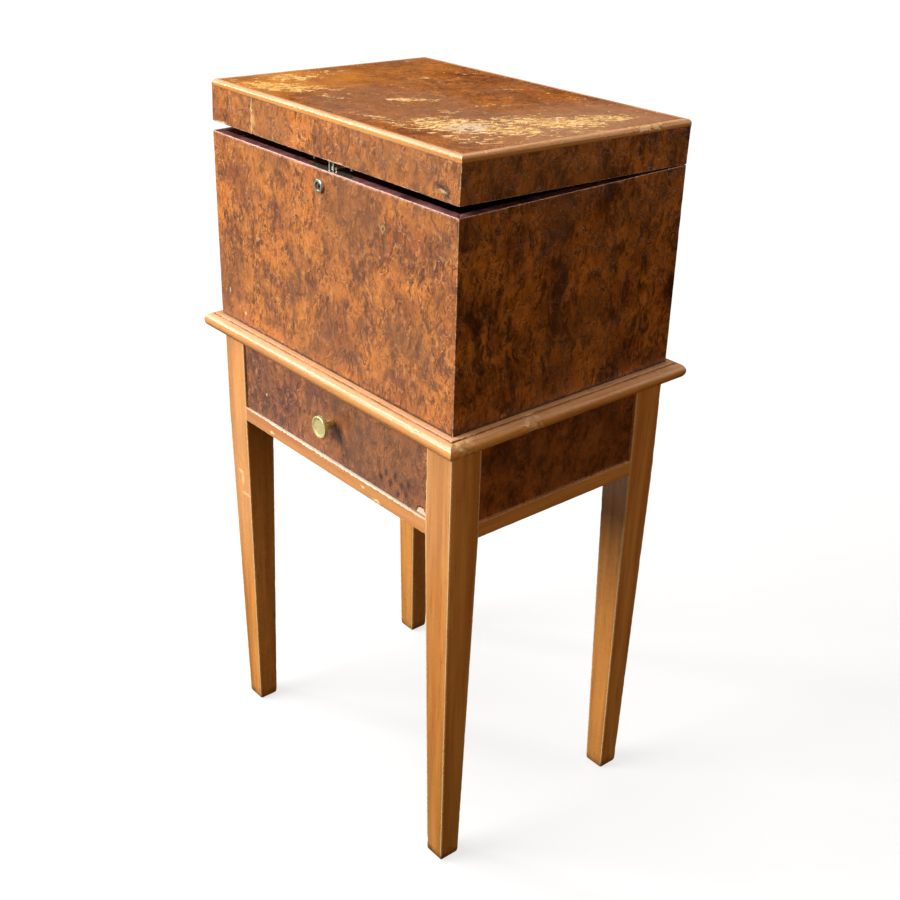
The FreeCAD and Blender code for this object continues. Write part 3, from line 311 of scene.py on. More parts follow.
def light_wood(along, edge_tint_from=0.84, marks=()):
    """The pale varnished wood of the legs, rails, mouldings and beads, with a painted sheen on faces that
    look up.
    """
    wiring = Wiring(f"light_wood_{along}")
    colour, height = straight_grain(wiring, along, LIGHT_PALE, LIGHT_DEEP, LIGHT_LINE)
    olive = wiring.ramp(wiring.noise(wiring.place, 7, 2, 0.5), 0.42, 0.62, 0, 0.38)
    colour = wiring.mix(olive, colour, LIGHT_OLIVE)
    # Painted sheen: faces that look up are painted paler, broken up by the grain.
    tone_and_painted_sheen = wiring.math("MULTIPLY", wiring.upward(), wiring.ramp(height, 0.65, 0.35, 0.25, 0.75))
    colour = wiring.mix(tone_and_painted_sheen, colour, LIGHT_PAINTED_SHEEN)
    for centre, size, softness, shade in marks:
        colour = wiring.mix(wiring.spot(centre, size, softness), colour, shade)
    colour, _ = tint_arrises(wiring, colour, LIGHT_BARE, edge_tint_from, edge_tint_from + 0.3, 0.7)
    patchy = wiring.ramp(wiring.noise(wiring.place, 60, 3), 0.3, 0.7, 0.35, 1)
    # Darker at the feet where soiled, and in the creases of the mouldings and beads from painted shade.
    above_floor = wiring.node("ShaderNodeSeparateXYZ", {}, {0: wiring.place}, 2)
    splash = wiring.math("MULTIPLY", wiring.noise(wiring.place, 140, 3), 22 * MM)
    foot = wiring.ramp(wiring.math("ADD", above_floor, splash), 28 * MM, 14 * MM, 0, 0.85)
    painted_shade_and_dirt = wiring.math("MULTIPLY", wiring.math("MAXIMUM", wiring.attribute("painted_shade_and_dirt"), foot), patchy)
    colour = wiring.mix(painted_shade_and_dirt, colour, DIRT_AND_PAINTED_SHADE)
    roughness = wiring.ramp(wiring.noise(wiring.place, 40, 4, 0.6), 0.3, 0.75, 0.20, 0.36)
    wiring.bump(height, 0.10 * MM, 0.4)
    return wiring.finish(colour, roughness, coat=0.35, coat_roughness=0.14)


def plain_wood(along):
    """Unvarnished wood, as inside the box, the lid and the drawer."""
    wiring = Wiring(f"plain_wood_{along}")
    pale, deep, line = (0.47, 0.27, 0.125), (0.34, 0.175, 0.075), (0.17, 0.08, 0.035)
    colour, height = straight_grain(wiring, along, pale, deep, line)
    colour, _ = tint_arrises(wiring, colour, (0.55, 0.36, 0.19), 0.8, 1.1)
    roughness = wiring.ramp(wiring.noise(wiring.place, 90, 3), 0.3, 0.7, 0.55, 0.8)
    wiring.bump(height, 0.15 * MM, 0.4)
    return wiring.finish(colour, roughness, specular=0.3)


def stained_edge():
    """The maroon stain on the meeting edges of the box and the lid."""
    wiring = Wiring("stained_edge")
    streaks = wiring.noise(wiring.scaled(wiring.place, (0.15, 0.15, 1)), 240, 3, 0.6)
    colour = wiring.mix(wiring.ramp(streaks, 0.35, 0.7), (0.13, 0.040, 0.050), (0.40, 0.150, 0.155))
    rubbed = wiring.ramp(wiring.noise(wiring.place, 130, 4, 0.65), 0.56, 0.72, 0, 0.6)
    colour = wiring.mix(rubbed, colour, (0.55, 0.34, 0.34))
    colour, _ = tint_arrises(wiring, colour, (0.72, 0.45, 0.37), 0.75, 1.0)
    wiring.bump(streaks, 0.1 * MM, 0.4)
    roughness = wiring.ramp(rubbed, 0, 0.6, 0.35, 0.55)
    return wiring.finish(colour, roughness)


def worn_top():
    """The lid's top veneer: burl, patches of dulled varnish, a painted reflection across the middle and a
    painted sheen at the right end, and patches worn through to the yellow ground.
    """
    wiring = Wiring("worn_top_veneer")
    colour, height = burl_figure(wiring, (0.68, 0.205, 0.034), (0.36, 0.100, 0.020), MOTTLE, 0.75, 0.6)
    # A painted reflection: a greyish pale patch across the middle of the top, mixed with the randomly dulled
    # varnish.
    painted_reflection = wiring.spot(SWING @ Vector((0, -60 * MM, LID_TOP)), (95 * MM, 80 * MM, 1), 0.22)
    tone_and_painted_sheen = wiring.ramp(wiring.noise(wiring.place, 8, 3, 0.55), 0.42, 0.62, 0, 0.35)
    tone_and_painted_sheen = wiring.math("MAXIMUM", tone_and_painted_sheen, wiring.math("MULTIPLY", painted_reflection, 0.48))
    colour = wiring.mix(tone_and_painted_sheen, colour, (0.43, 0.205, 0.110))
    # A painted sheen: a pale patch towards the right end of the top.
    right_end_painted_sheen = wiring.spot(SWING @ Vector((165 * MM, 40 * MM, LID_TOP)), (75 * MM, 120 * MM, 1), 0.7)
    colour = wiring.mix(wiring.math("MULTIPLY", right_end_painted_sheen, 0.5), colour, (0.64, 0.35, 0.20))
    amber = wiring.attribute("amber")
    colour = wiring.mix(wiring.math("MULTIPLY", amber, 0.75), colour, (0.84, 0.30, 0.035))

    stroke = wiring.scaled(wiring.place, (1, 0.40, 1), (0, 0, math.radians(-28)))
    ground = wiring.noise(stroke, 260, 4, 0.65)
    bare_wood_and_gap_shade = wiring.mix(wiring.ramp(ground, 0.38, 0.60), (0.76, 0.35, 0.060), (1.0, 0.66, 0.24))
    pale = wiring.ramp(wiring.noise(stroke, 420, 3, 0.6), 0.54, 0.64, 0, 0.85)
    bare_wood_and_gap_shade = wiring.mix(pale, bare_wood_and_gap_shade, (1.0, 0.80, 0.50))
    bare_wood_and_gap_shade = wiring.mix(wiring.math("MULTIPLY", amber, 0.45), bare_wood_and_gap_shade, (1.0, 0.46, 0.04))
    bleached = wiring.spot(SWING @ Vector((118 * MM, -66 * MM, LID_TOP)), (16 * MM, 22 * MM, 1), 0.6)
    bleached = wiring.math("MULTIPLY", bleached, wiring.ramp(ground, 0.40, 0.60, 0.15, 0.8))
    bare_wood_and_gap_shade = wiring.mix(bleached, bare_wood_and_gap_shade, (0.74, 0.66, 0.58))
    splits = wiring.ramp(wiring.noise(stroke, 380, 3, 0.6, 0.6), 0.50, 0.42)
    bare_wood_and_gap_shade = wiring.mix(wiring.math("MULTIPLY", splits, 0.7), bare_wood_and_gap_shade, (0.36, 0.135, 0.035))
    worn = wiring.attribute("worn")
    lip = wiring.math("MULTIPLY", worn, wiring.math("SUBTRACT", 1.0, worn))
    ragged = wiring.math("ADD", worn, wiring.math("MULTIPLY", wiring.math("SUBTRACT", pale, 0.4), 0.45))
    colour = wiring.mix(wiring.ramp(ragged, 0.38, 0.58), colour, bare_wood_and_gap_shade)
    colour = wiring.mix(wiring.ramp(lip, 0.12, 0.25, 0, 0.35), colour, (0.16, 0.055, 0.025))
    colour, _ = tint_arrises(wiring, colour, BARE)
    roughness = wiring.ramp(wiring.noise(wiring.place, 30, 4, 0.6), 0.3, 0.75, 0.20, 0.40)
    roughness = wiring.math("ADD", roughness, wiring.math("MULTIPLY", worn, 0.35))
    wiring.bump(wiring.math("ADD", height, wiring.math("MULTIPLY", ground, worn)), 0.5 * MM, 0.5)
    return wiring.finish(colour, roughness, coat=0.15, coat_roughness=0.15)


# ---------------------------------------------------------------- metal materials
def metal(name, bright, dull, stain, roughness, metallic=0.75, scale=1.0):
    """Old metal: brighter where rubbed, duller and stained in blotches, with fine scratches."""
    wiring = Wiring(name)
    blotch = wiring.noise(wiring.place, 260 * scale, 5, 0.65)
    colour = wiring.mix(wiring.ramp(blotch, 0.35, 0.65), bright, dull)
    spots = wiring.ramp(wiring.noise(wiring.place, 900 * scale, 3, 0.6), 0.58, 0.70)
    colour = wiring.mix(wiring.math("MULTIPLY", spots, 0.7), colour, stain)
    scratch = wiring.noise(wiring.scaled(wiring.place, (1, 1, 0.1)), 3000, 2, 0.5)
    rough = wiring.ramp(blotch, 0.3, 0.7, roughness, roughness + 0.25)
    wiring.bump(wiring.math("ADD", scratch, wiring.math("MULTIPLY", blotch, 2)), 0.03 * MM, 0.4)
    return wiring.finish(colour, rough, metallic=metallic)


# ---------------------------------------------------------------- marks: centre, size, softness, colour
CREAM = (0.86, 0.60, 0.33)
BLACKENED = (0.06, 0.03, 0.018)
# Painted shade: a dark band along the foot of the walls, in the crease above the ledge.
LEDGE_PAINTED_SHADE = (Vector((0, 0, LEDGE_Z)), (0.4, 0.4, 2.4 * MM), 0.6, (0.060, 0.022, 0.008))


def front_mark(x, z, wide, tall, softness, shade):
    """A mark on the front of the box or the closed lid, in mm: middle, half width and half height."""
    centre = Vector((x * MM, -HALF_D, z * MM))
    if centre.z > RIM_Z:
        centre = SWING @ centre
    return centre, (wide * MM, 14 * MM, tall * MM), softness, shade


def front_marks():
    """Painted shade along the foot of the walls, the rubbed rim, a filled hole, a long crack, scratches and a
    knocked corner on the front.
    """
    return (
        LEDGE_PAINTED_SHADE,
        front_mark(0, RIM_Z / MM - 0.1, 200, 1.7, 0.8, (0.76, 0.43, 0.34)),
        front_mark(95, 699, 3.6, 3.4, 0.35, (0.50, 0.30, 0.12)),
        front_mark(95, 699, 2.0, 2.0, 0.35, (0.10, 0.075, 0.03)),
        front_mark(-124, 752, 0.7, 18, 1.0, CREAM),
        front_mark(-121, 749, 3.0, 5.0, 1.0, (0.66, 0.36, 0.13)),
        front_mark(-184, 735, 11, 1.6, 0.5, CREAM),
        front_mark(21, 735, 17, 0.9, 0.5, (0.82, 0.50, 0.34)),
        front_mark(176, 747, 7.0, 2.6, 0.9, BLACKENED),
        front_mark(184, 742, 3.0, 4.6, 0.9, BLACKENED),
        front_mark(178, 743, 4.0, 1.2, 0.9, (0.62, 0.40, 0.20)),
        front_mark(-181, 560, 1.2, 3.0, 0.5, CREAM),
        front_mark(-150, 541, 1.6, 2.2, 0.5, CREAM),
    )


def leg_marks():
    """Scratches on the front left leg, below the rail."""
    face_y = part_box("front_left_leg")[0].y
    return tuple((Vector((x * MM, face_y, z * MM)), (wide * MM, 6 * MM, tall * MM), 0.8, LIGHT_BARE)
                 for x, z, wide, tall in ((-181, 331, 5, 2.0), (-178, 322, 2.2, 7), (-172, 303, 8, 1.4)))


def rail_marks():
    """A painted highlight along the top edge of the drawer rail, and small dents in its face."""
    low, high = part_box("drawer_rail")
    # Painted highlight: a near-white line along the rail's top front edge.
    line = (Vector((0, low.y, high.z)), (162 * MM, 6 * MM, 1.9 * MM), 0.3, (1.0, 0.86, 0.74))
    dents = tuple((Vector((x * MM, low.y, low.z + z * MM)), (wide * MM, 6 * MM, 1.5 * MM), 0.7, LIGHT_BARE)
                  for x, z, wide in ((-108, 5, 4), (60, 9, 3), (84, 3, 5)))
    return (line, *dents)


def drawer_marks():
    """Dark knots, a lost flake of veneer at the lower corner with a painted shadow along its upper and left
    edges, and a chip on the drawer's front.
    """
    face_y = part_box("drawer_front")[0].y

    def mark(x, z, wide, tall, softness, shade):
        return Vector((x * MM, face_y, z * MM)), (wide * MM, 14 * MM, tall * MM), softness, shade

    knots = ((112, 448), (122, 441), (104, 436), (116, 430), (129, 434), (97, 446), (133, 447), (88, 438))
    return tuple(mark(x, z, 2.8, 4.4, 0.8, (0.085, 0.030, 0.022)) for x, z in knots) + (
        # Painted shadow: the dark patch sits up and left of the pale flake, so it shows as a dark rim along
        # its upper and left edges.
        mark(152.5, 425, 7.4, 7.2, 0.10, (0.04, 0.016, 0.012)),
        mark(153.4, 424, 6.8, 6.5, 0.12, (0.92, 0.68, 0.46)),
        mark(-119, 453, 1.6, 1.3, 0.4, (0.88, 0.60, 0.22)),
    )


# ---------------------------------------------------------------- all the materials
def make_materials():
    """Every material by a short name."""
    made = {f"light_{along}": light_wood(along) for along in "xy"}
    made["light_z"] = light_wood("z", 0.66, leg_marks())
    made["rubbed_and_painted_highlight_x"] = light_wood("x", 0.42, rail_marks())
    made.update({f"plain_{along}": plain_wood(along) for along in "xyz"})
    made["burl_front"] = burl("burl_front", depth=0.80, marks=front_marks())
    # The ends' burl is a darker, browner copy of the front's: partly painted shade, as the right end stands
    # in shade.
    made["burl_side"] = burl("burl_side", (0.64, 0.190, 0.024), (0.22, 0.055, 0.009),
                             (0.050, 0.016, 0.006), 0.90, 0.75, 0.17, (LEDGE_PAINTED_SHADE,), (0.70, 0.26, 0.06))
    # Near-black on the drawer face's edges: painted shade of the gap round the drawer.
    made["burl_drawer"] = burl("burl_drawer", (0.52, 0.165, 0.042), (0.27, 0.090, 0.042),
                               (0.085, 0.032, 0.028), 0.85, 0.95, marks=drawer_marks(),
                               bare_wood_and_gap_shade=(0.022, 0.011, 0.008), edge_tint_from=0.26)
    made["burl_apron"] = burl("burl_apron", (0.40, 0.112, 0.020), (0.19, 0.052, 0.012),
                              (0.050, 0.018, 0.009), 0.80, 0.45, 0.2, fleck_and_highlight=(0.50, 0.18, 0.05))
    made["stain"] = stained_edge()
    made["worn_top"] = worn_top()
    made["brass"] = metal("aged_brass", (0.86, 0.74, 0.36), (0.66, 0.54, 0.25), (0.17, 0.13, 0.06), 0.30, 0.5)
    made["lock"] = metal("lock_metal", (0.72, 0.72, 0.62), (0.24, 0.24, 0.18), (0.05, 0.06, 0.03), 0.24, 0.9)
    made["steel"] = metal("screw_steel", (0.46, 0.44, 0.40), (0.22, 0.20, 0.17), (0.14, 0.08, 0.05), 0.36)
    return made


MATERIALS = make_materials()


# ---------------------------------------------------------------- pieces
def adopt(bm, node, materials, sharp=40):
    """Make the smooth piece that stands for a CAD node, with that node's body and the given materials."""
    mesh = bpy.data.meshes.new(f"{node}_visual")
    bm.to_mesh(mesh)
    bm.free()
    for polygon in mesh.polygons:
        polygon.use_smooth = True
    mesh.set_sharp_from_angle(angle=math.radians(sharp))
    piece = bpy.data.objects.new(f"{node}_visual", mesh)
    bpy.context.scene.collection.objects.link(piece)
    for name in materials:
        mesh.materials.append(MATERIALS[name])
    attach(piece, BODY_OF[node])
    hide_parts(node)


def skin(bm, loops):
    """Faces between neighbouring loops of vertices, and over the first and the last loop."""
    for lower, upper in zip(loops, loops[1:]):
        for i in range(len(lower)):
            j = (i + 1) % len(lower)
            bm.faces.new((lower[i], lower[j], upper[j], upper[i]))
    bm.faces.new(list(reversed(loops[0])))
    bm.faces.new(loops[-1])


def arris_radius(place, base, wear):
    """Radius of a worn arris: uneven everywhere, and larger where it was knocked."""
    fine = noise.noise(place * 330)
    knock = noise.noise(place * 75 + Vector((3.1, 1.7, 5.3)))
    return base * (1 + 0.45 * fine) + wear * max(0.0, knock - 0.22)


def rounded(place, low, high, radius):
    """Bring a point of a box's surface onto the same box with rounded arrises."""
    inner = Vector(min(max(c, a + radius), b - radius) for c, a, b in zip(place, low, high))
    out = place - inner
    return inner + out * (radius / out.length) if out.length > radius else place


def arris_nearness(place, low, high, reach):
    """1 on an arris of the box, falling to 0 at that reach from it."""
    depths = sorted(min(c - a, b - c) for c, a, b in zip(place, low, high))
    return max(0.0, 1 - max(depths[1], depths[0]) / reach)


def cuts_along(low, high, step, near=(0.35, 0.8, 1.4, 2.6)):
    """Places to cut between two ends: close together beside each end, then evenly."""
    beside = [offset * MM for offset in near if offset * MM < (high - low) / 2]
    count = max(1, round((high - low) / step))
    even = [low + (high - low) * i / count for i in range(1, count)]
    last = beside[-1] if beside else 0
    even = [place for place in even if low + last * 1.3 < place < high - last * 1.3]
    return sorted([low + b for b in beside] + even + [high - b for b in beside])


def refined(node, materials, paint, block=None, base=0.5 * MM, wear=0.9 * MM, step=5 * MM):
    """A CAD node cut finer, with worn arrises where it shares them with the block that it is part of."""
    low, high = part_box(node)
    on_lid = BODY_OF[node] == "lid"
    bm = bmesh.new()
    bm.from_mesh(NODES[node].data)
    if on_lid:
        bmesh.ops.transform(bm, matrix=CLOSE, verts=bm.verts)
        low = Vector(min(v.co[i] for v in bm.verts) for i in range(3))
        high = Vector(max(v.co[i] for v in bm.verts) for i in range(3))
    bmesh.ops.remove_doubles(bm, verts=bm.verts, dist=0.002 * MM)
    bmesh.ops.dissolve_limit(bm, angle_limit=math.radians(0.5), verts=bm.verts, edges=bm.edges)
    for axis in range(3):
        across = Vector(float(axis == i) for i in range(3))
        for cut in cuts_along(low[axis], high[axis], step):
            geometry = bm.verts[:] + bm.edges[:] + bm.faces[:]
            bmesh.ops.bisect_plane(bm, geom=geometry, dist=0.001 * MM, plane_co=across * cut, plane_no=across)
    block = block or (low, high)
    edge = bm.verts.layers.float.new("edge")
    for face in bm.faces:
        face.material_index = paint(face.calc_center_median(), face.normal)
    for vert in bm.verts:
        radius = arris_radius(vert.co, base, wear)
        vert[edge] = arris_nearness(vert.co, *block, 1.2 * radius + 0.8 * MM)
        vert.co = rounded(vert.co, *block, radius)
    if on_lid:
        bmesh.ops.transform(bm, matrix=SWING, verts=bm.verts)
    adopt(bm, node, materials)


def long_axis(node):
    """The letter of the axis that a node is longest along."""
    low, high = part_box(node)
    size = high - low
    return "xyz"[max(range(3), key=lambda i: size[i])]


def outside_or_inside(centre, normal):
    """0 on the veneered outside of the box or the closed lid, 2 elsewhere."""
    outside = abs(centre.x) > HALF_W - SURFACE or abs(centre.y) > HALF_D - SURFACE
    return 0 if outside and abs(normal.z) < 0.5 else 2


def figure_of(side):
    """The burl on that side: paler on the front and back than on the two ends, whose darker copy of the
    figure is partly painted shade.
    """
    return "burl_front" if side in (FRONT, BACK) else "burl_side"


def make_walls():
    """The veneered walls of the box: burl outside, plain inside, stained on the rim."""
    block = (Vector((-HALF_W, -HALF_D, LEDGE_Z - 1)), Vector((HALF_W, HALF_D, RIM_Z)))

    def paint(centre, normal):
        on_rim = normal.z > 0.7 and centre.z > RIM_Z - SURFACE
        return 1 if on_rim else outside_or_inside(centre, normal)

    for side in SIDES:
        materials = (figure_of(side), "stain", "plain_z")
        refined(f"box_{side}_wall", materials, paint, block, 0.7 * MM, 1.8 * MM)


def make_lid_rails():
    """The lid's veneered rails: burl outside, stained below, plain inside."""
    block = (Vector((-HALF_W, -HALF_D, LID_LOW)), Vector((HALF_W, HALF_D, LID_TOP + 1)))

    def paint(centre, normal):
        on_rim = normal.z < -0.7 and centre.z < LID_LOW + SURFACE
        return 1 if on_rim else outside_or_inside(centre, normal)

    for side in SIDES:
        materials = (figure_of(side), "stain", "plain_x")
        refined(f"lid_{side}_rail", materials, paint, block, 0.5 * MM, 1.1 * MM, 4 * MM)


def make_aprons():
    """Burl on the outer face of each apron."""
    for side, axis, sign in ((LEFT, 0, -1), (RIGHT, 0, 1), (BACK, 1, 1)):
        def paint(_, normal):
            return 0 if normal[axis] * sign > 0.7 else 1

        refined(f"{side}_apron", ("burl_apron", f"plain_{'yx'[axis]}"), paint)


def make_drawer_front():
    """Burl on the drawer's face, plain wood on the rest of its front."""
    def paint(_, normal):
        return 0 if normal.y < -0.7 else 1

    refined("drawer_front", ("burl_drawer", "plain_x"), paint, base=0.4 * MM, wear=1.0 * MM, step=4 * MM)


def make_plain_pieces():
    """Every other piece of plain or light wood that is a block."""
    def paint(_, __):
        return 0

    for node in sorted(NODES):
        if NODES[node].hide_render or node == "lid_top_veneer":
            continue
        if SLOT_OF[node] == "plain_wood":
            refined(node, (f"plain_{long_axis(node)}",), paint, step=20 * MM, wear=0.3 * MM)
        elif SLOT_OF[node] == "light_wood" and node.endswith("_rail"):
            figure = "rubbed_and_painted_highlight_x" if node == "drawer_rail" else f"light_{long_axis(node)}"
            refined(node, (figure,), paint, step=5 * MM)


# ---------------------------------------------------------------- legs
def turned(x, y, angle):
    """A point turned about the middle of the leg."""
    return x * math.cos(angle) - y * math.sin(angle), x * math.sin(angle) + y * math.cos(angle)


def leg_half(z, full):
    """Half of a leg's square section at that height, drawn in where the foot is rounded."""
    if z >= LEG_TAPER_Z:
        half = full / 2
    else:
        half = (LEG_FOOT + (full - LEG_FOOT) * z / LEG_TAPER_Z) / 2
    below = max(0.0, FOOT_ROUND - z) / FOOT_ROUND
    return half - FOOT_ROUND * (1 - math.sqrt(1 - (0.88 * below) ** 2))


def leg_outline(half, radius_at):
    """Points round a square section with rounded arrises: place and nearness to an arris."""
    points = []
    for corner in range(4):
        turn = math.radians(90 * corner)
        radius = radius_at(corner)
        for step in range(5):
            angle = math.radians(22.5 * step)
            x = half - radius + radius * math.cos(angle)
            y = half - radius + radius * math.sin(angle)
            points.append((*turned(x, y, turn), 1.0))
        for share, nearness in ((2.2 * MM, 0.35), (5 * MM, 0.0), (half, 0.0)):
            points.append((*turned(half - share, half, turn), nearness))
        for share, nearness in ((5 * MM, 0.0), (2.2 * MM, 0.35)):
            points.append((*turned(share - half, half, turn), nearness))
    return points


def make_leg(node):
    """A square tapered leg with worn arrises and a rounded foot."""
    low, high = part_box(node)
    centre = (low + high) / 2
    full = high.x - low.x
    bm = bmesh.new()
    edge = bm.verts.layers.float.new("edge")
    count = round(LEG_TOP / (3.5 * MM))
    heights = [z * MM for z in (0, 0.3, 0.8, 1.5, 2.4)]
    heights += [LEG_TOP * i / count for i in range(1, count + 1)]
    loops = []
    for z in heights:
        half = leg_half(z, full)

        def radius_at(corner):
            turn = math.radians(45 + 90 * corner)
            place = Vector((centre.x + half * math.cos(turn), centre.y + half * math.sin(turn), z))
            near_foot = max(0.0, 1 - z / (40 * MM))
            return arris_radius(place, 0.8 * MM, (1.6 + 3 * near_foot) * MM)

        loop = []
        for x, y, nearness in leg_outline(half, radius_at):
            vert = bm.verts.new((centre.x + x, centre.y + y, z))
            vert[edge] = max(1.3 * nearness, 1 - z / (5 * MM))
            loop.append(vert)
        loops.append(loop)
    skin(bm, loops)
    adopt(bm, node, ("light_z",))


# ---------------------------------------------------------------- mitred mouldings and beads
def arc(centre_out, centre_z, radius, start, end, count):
    """Points of an arc in a section, from one angle to another, in degrees."""
    points = []
    for i in range(count + 1):
        angle = math.radians(start + (end - start) * i / count)
        points.append((centre_out + radius * math.cos(angle), centre_z + radius * math.sin(angle)))
    return points


def moulding_section():
    """Outward reach, height, edge and painted shade of each point round the moulding's section: shade painted
    in the crease against the wall, in the quirk and on the underside.
    """
    radius = (LEDGE_Z - QUIRK - TOP_UNDER_Z) / 2
    centre = NOSE_REACH - radius
    middle = TOP_UNDER_Z + radius
    step_z = LEDGE_Z - QUIRK
    ledge = ((-MOULDING_LAP, 0, 0), (-1 * MM, 0, 0.3), (0, 0, 0.7), (0.8 * MM, 0, 0.1), (3 * MM, 0, 0),
             (LEDGE_WIDTH - 1.2 * MM, 0.3, 0), (LEDGE_WIDTH - 0.3 * MM, 0.9, 0))
    section = [(out, LEDGE_Z, edge, painted_shade_and_dirt) for out, edge, painted_shade_and_dirt in ledge]
    section.append((LEDGE_WIDTH, LEDGE_Z - 0.3 * MM, 0.6, 0.3))
    section.append((LEDGE_WIDTH + 0.1 * MM, step_z - 0.5 * MM, 0, 1))
    section.append((LEDGE_WIDTH + 0.8 * MM, step_z - 0.35 * MM, 0, 0.8))
    section += [(out, z, 0.25, 0) for out, z in arc(centre, middle, radius, 82, -78, 14)]
    under = ((centre - 1 * MM, 0.4, 0), (0, 0, 0.2), (-MOULDING_LAP, 0, 0.4))
    section += [(out, TOP_UNDER_Z, edge, painted_shade_and_dirt) for out, edge, painted_shade_and_dirt in under]
    return section


def bead_section():
    """Outward reach, height, edge and painted shade of each point round the bead's section: shade painted in
    its creases against the lid's top and its rail.
    """
    low = LID_TOP - BEAD
    section = [(-BEAD, LID_TOP - 0.3 * MM, 0, 0.8), (-BEAD + 0.4 * MM, LID_TOP, 0.5, 0.2),
               (-BEAD + 1.6 * MM, LID_TOP, 0.1, 0)]
    section += [(out, z, 0.45, 0) for out, z in arc(-BEAD_ROUND, LID_TOP - BEAD_ROUND, BEAD_ROUND, 90, 0, 8)]
    section += [(0, low + 1.4 * MM, 0.2, 0), (0, low + 0.3 * MM, 0.5, 0.3)]
    section += [(-0.3 * MM, low, 0, 0.8), (-BEAD, low, 0, 0)]
    return section


# Where a run was knocked most: run, middle along it in mm, spread in mm and strength.
KNOCKS = (
    ("right_moulding", -128, 16, 0.9), ("right_moulding", -50, 16, 1.0), ("right_moulding", 60, 10, 0.4),
    ("front_moulding", 150, 14, 0.35), ("front_moulding", -190, 12, 0.4), ("left_moulding", 20, 30, 0.5),
    ("lid_right_bead", 85, 28, 1.0), ("lid_right_bead", 20, 12, 0.5), ("lid_right_bead", -120, 10, 0.4),
    ("lid_front_bead", 190, 10, 0.6), ("lid_front_bead", -60, 10, 0.25), ("back_moulding", 90, 20, 0.5),
)


UNKNOCKED = 0.12  # how much even a spared stretch was knocked
CHIP_START = 0.52  # grit and knocks together have to reach this before wood is lost


def knocked(node, along):
    """How much that run was knocked there, from 0 to 1."""
    most = UNKNOCKED
    for run, middle, spread, strength in KNOCKS:
        if run == node:
            most = max(most, strength * math.exp(-((along / MM - middle) / spread) ** 2))
    return most


def mitred_length(node, side, section, chip, spacing):
    """One mitred length of a moulding that runs round the box, chipped and worn by its place."""
    turn = Matrix.Rotation(math.radians(TURN[side]), 4, "Z")
    half_run, half_across = (HALF_W, HALF_D) if side in (FRONT, BACK) else (HALF_D, HALF_W)
    count = round(2 * half_run / spacing)
    bm = bmesh.new()
    edge = bm.verts.layers.float.new("edge")
    # This attribute carries the painted shade in the creases of the section.
    painted_shade_and_dirt = bm.verts.layers.float.new("painted_shade_and_dirt")
    middle = Vector([sum(point[i] for point in section) / len(section) for i in range(2)])
    loops = []
    for i in range(count + 1):
        share = 2 * i / count - 1
        from_end = (1 - abs(share)) * half_run
        world_along = turn @ Vector((share * half_run, 0, 0))
        zone = knocked(node, world_along.x if side in (FRONT, BACK) else world_along.y)
        loop = []
        for out, z, nearness, darkening in section:
            place = turn @ Vector((share * (half_run + out), -(half_across + out), z))
            grit = 0.6 * noise.noise(place * 190) + 0.4 * noise.noise(place * 520)
            loss = min(1.0, max(0.0, grit + 0.75 * zone - CHIP_START) * 5) * (nearness > 0.2)
            depth = chip * loss * min(1.0, from_end / (3 * MM))
            inward = (middle - Vector((out, z))).normalized() * depth
            out += inward.x
            place = Vector((share * (half_run + out), -(half_across + out), z + inward.y))
            vert = bm.verts.new(turn @ place)
            mitre = max(0.0, 1 - from_end / (1.2 * MM))
            vert[edge] = max(nearness, loss * 1.3, mitre)
            vert[painted_shade_and_dirt] = darkening
            loop.append(vert)
        loops.append(loop)
    skin(bm, loops)
    bmesh.ops.recalc_face_normals(bm, faces=bm.faces)
    if BODY_OF[node] == "lid":
        bmesh.ops.transform(bm, matrix=SWING, verts=bm.verts)
    adopt(bm, node, ("light_x" if side in (FRONT, BACK) else "light_y",), 50)


def make_mouldings():
    """The moulding round the stand's top and the bead round the lid's."""
    for side in SIDES:
        mitred_length(f"{side}_moulding", side, moulding_section(), 0.8 * MM, 1.6 * MM)
        mitred_length(f"lid_{side}_bead", side, bead_section(), 0.7 * MM, 1.3 * MM)


# ---------------------------------------------------------------- the lid's worn top
# Middle x and y in mm, half length and half width in mm, turn in degrees, and strength.
WORN_PATCHES = (
    (108, -68, 52, 34, 40, 1.0), (150, -40, 34, 24, 60, 0.85), (122, -5, 34, 22, 70, 0.85),
    (150, 25, 44, 26, 70, 1.0), (155, 72, 34, 18, 80, 0.85), (160, -95, 40, 16, 30, 0.60),
    (85, -112, 26, 9, 20, 0.55), (180, 0, 16, 60, 0, 0.40), (40, -112, 34, 7, 15, 0.50),
    (-8, -32, 28, 9, 52, 0.95), (-60, -92, 24, 9, 20, 0.40),
    (-130, -108, 46, 22, 35, 0.95), (-165, -70, 30, 22, 70, 0.80), (-112, -80, 34, 14, 30, 0.60),
    (-172, -30, 18, 34, 0, 0.45), (-165, -125, 24, 10, 10, 0.55),
    (-90, 60, 26, 8, 60, 0.34), (-98, 108, 22, 8, 60, 0.34), (0, 92, 20, 6, 60, 0.40),
    (73, 120, 18, 7, 70, 0.42), (60, 30, 22, 7, 60, 0.38), (60, -30, 26, 10, 50, 0.48),
)


def wear_at(x, y):
    """How worn the top is there, from 0 to 1, before the flakes break it up."""
    most = 0.0
    for middle_x, middle_y, half_long, half_wide, turn, strength in WORN_PATCHES:
        angle = math.radians(turn)
        dx, dy = x / MM - middle_x, y / MM - middle_y
        along = (dx * math.cos(angle) + dy * math.sin(angle)) / half_long
        across = (dy * math.cos(angle) - dx * math.sin(angle)) / half_wide
        most = max(most, strength * max(0.0, 1 - 0.55 * (along * along + across * across)))
    return most


FLAKE_START = 0.53  # wear and flake together have to reach this before the veneer is half gone
FLAKE_DEPTH = 0.6 * VENEER


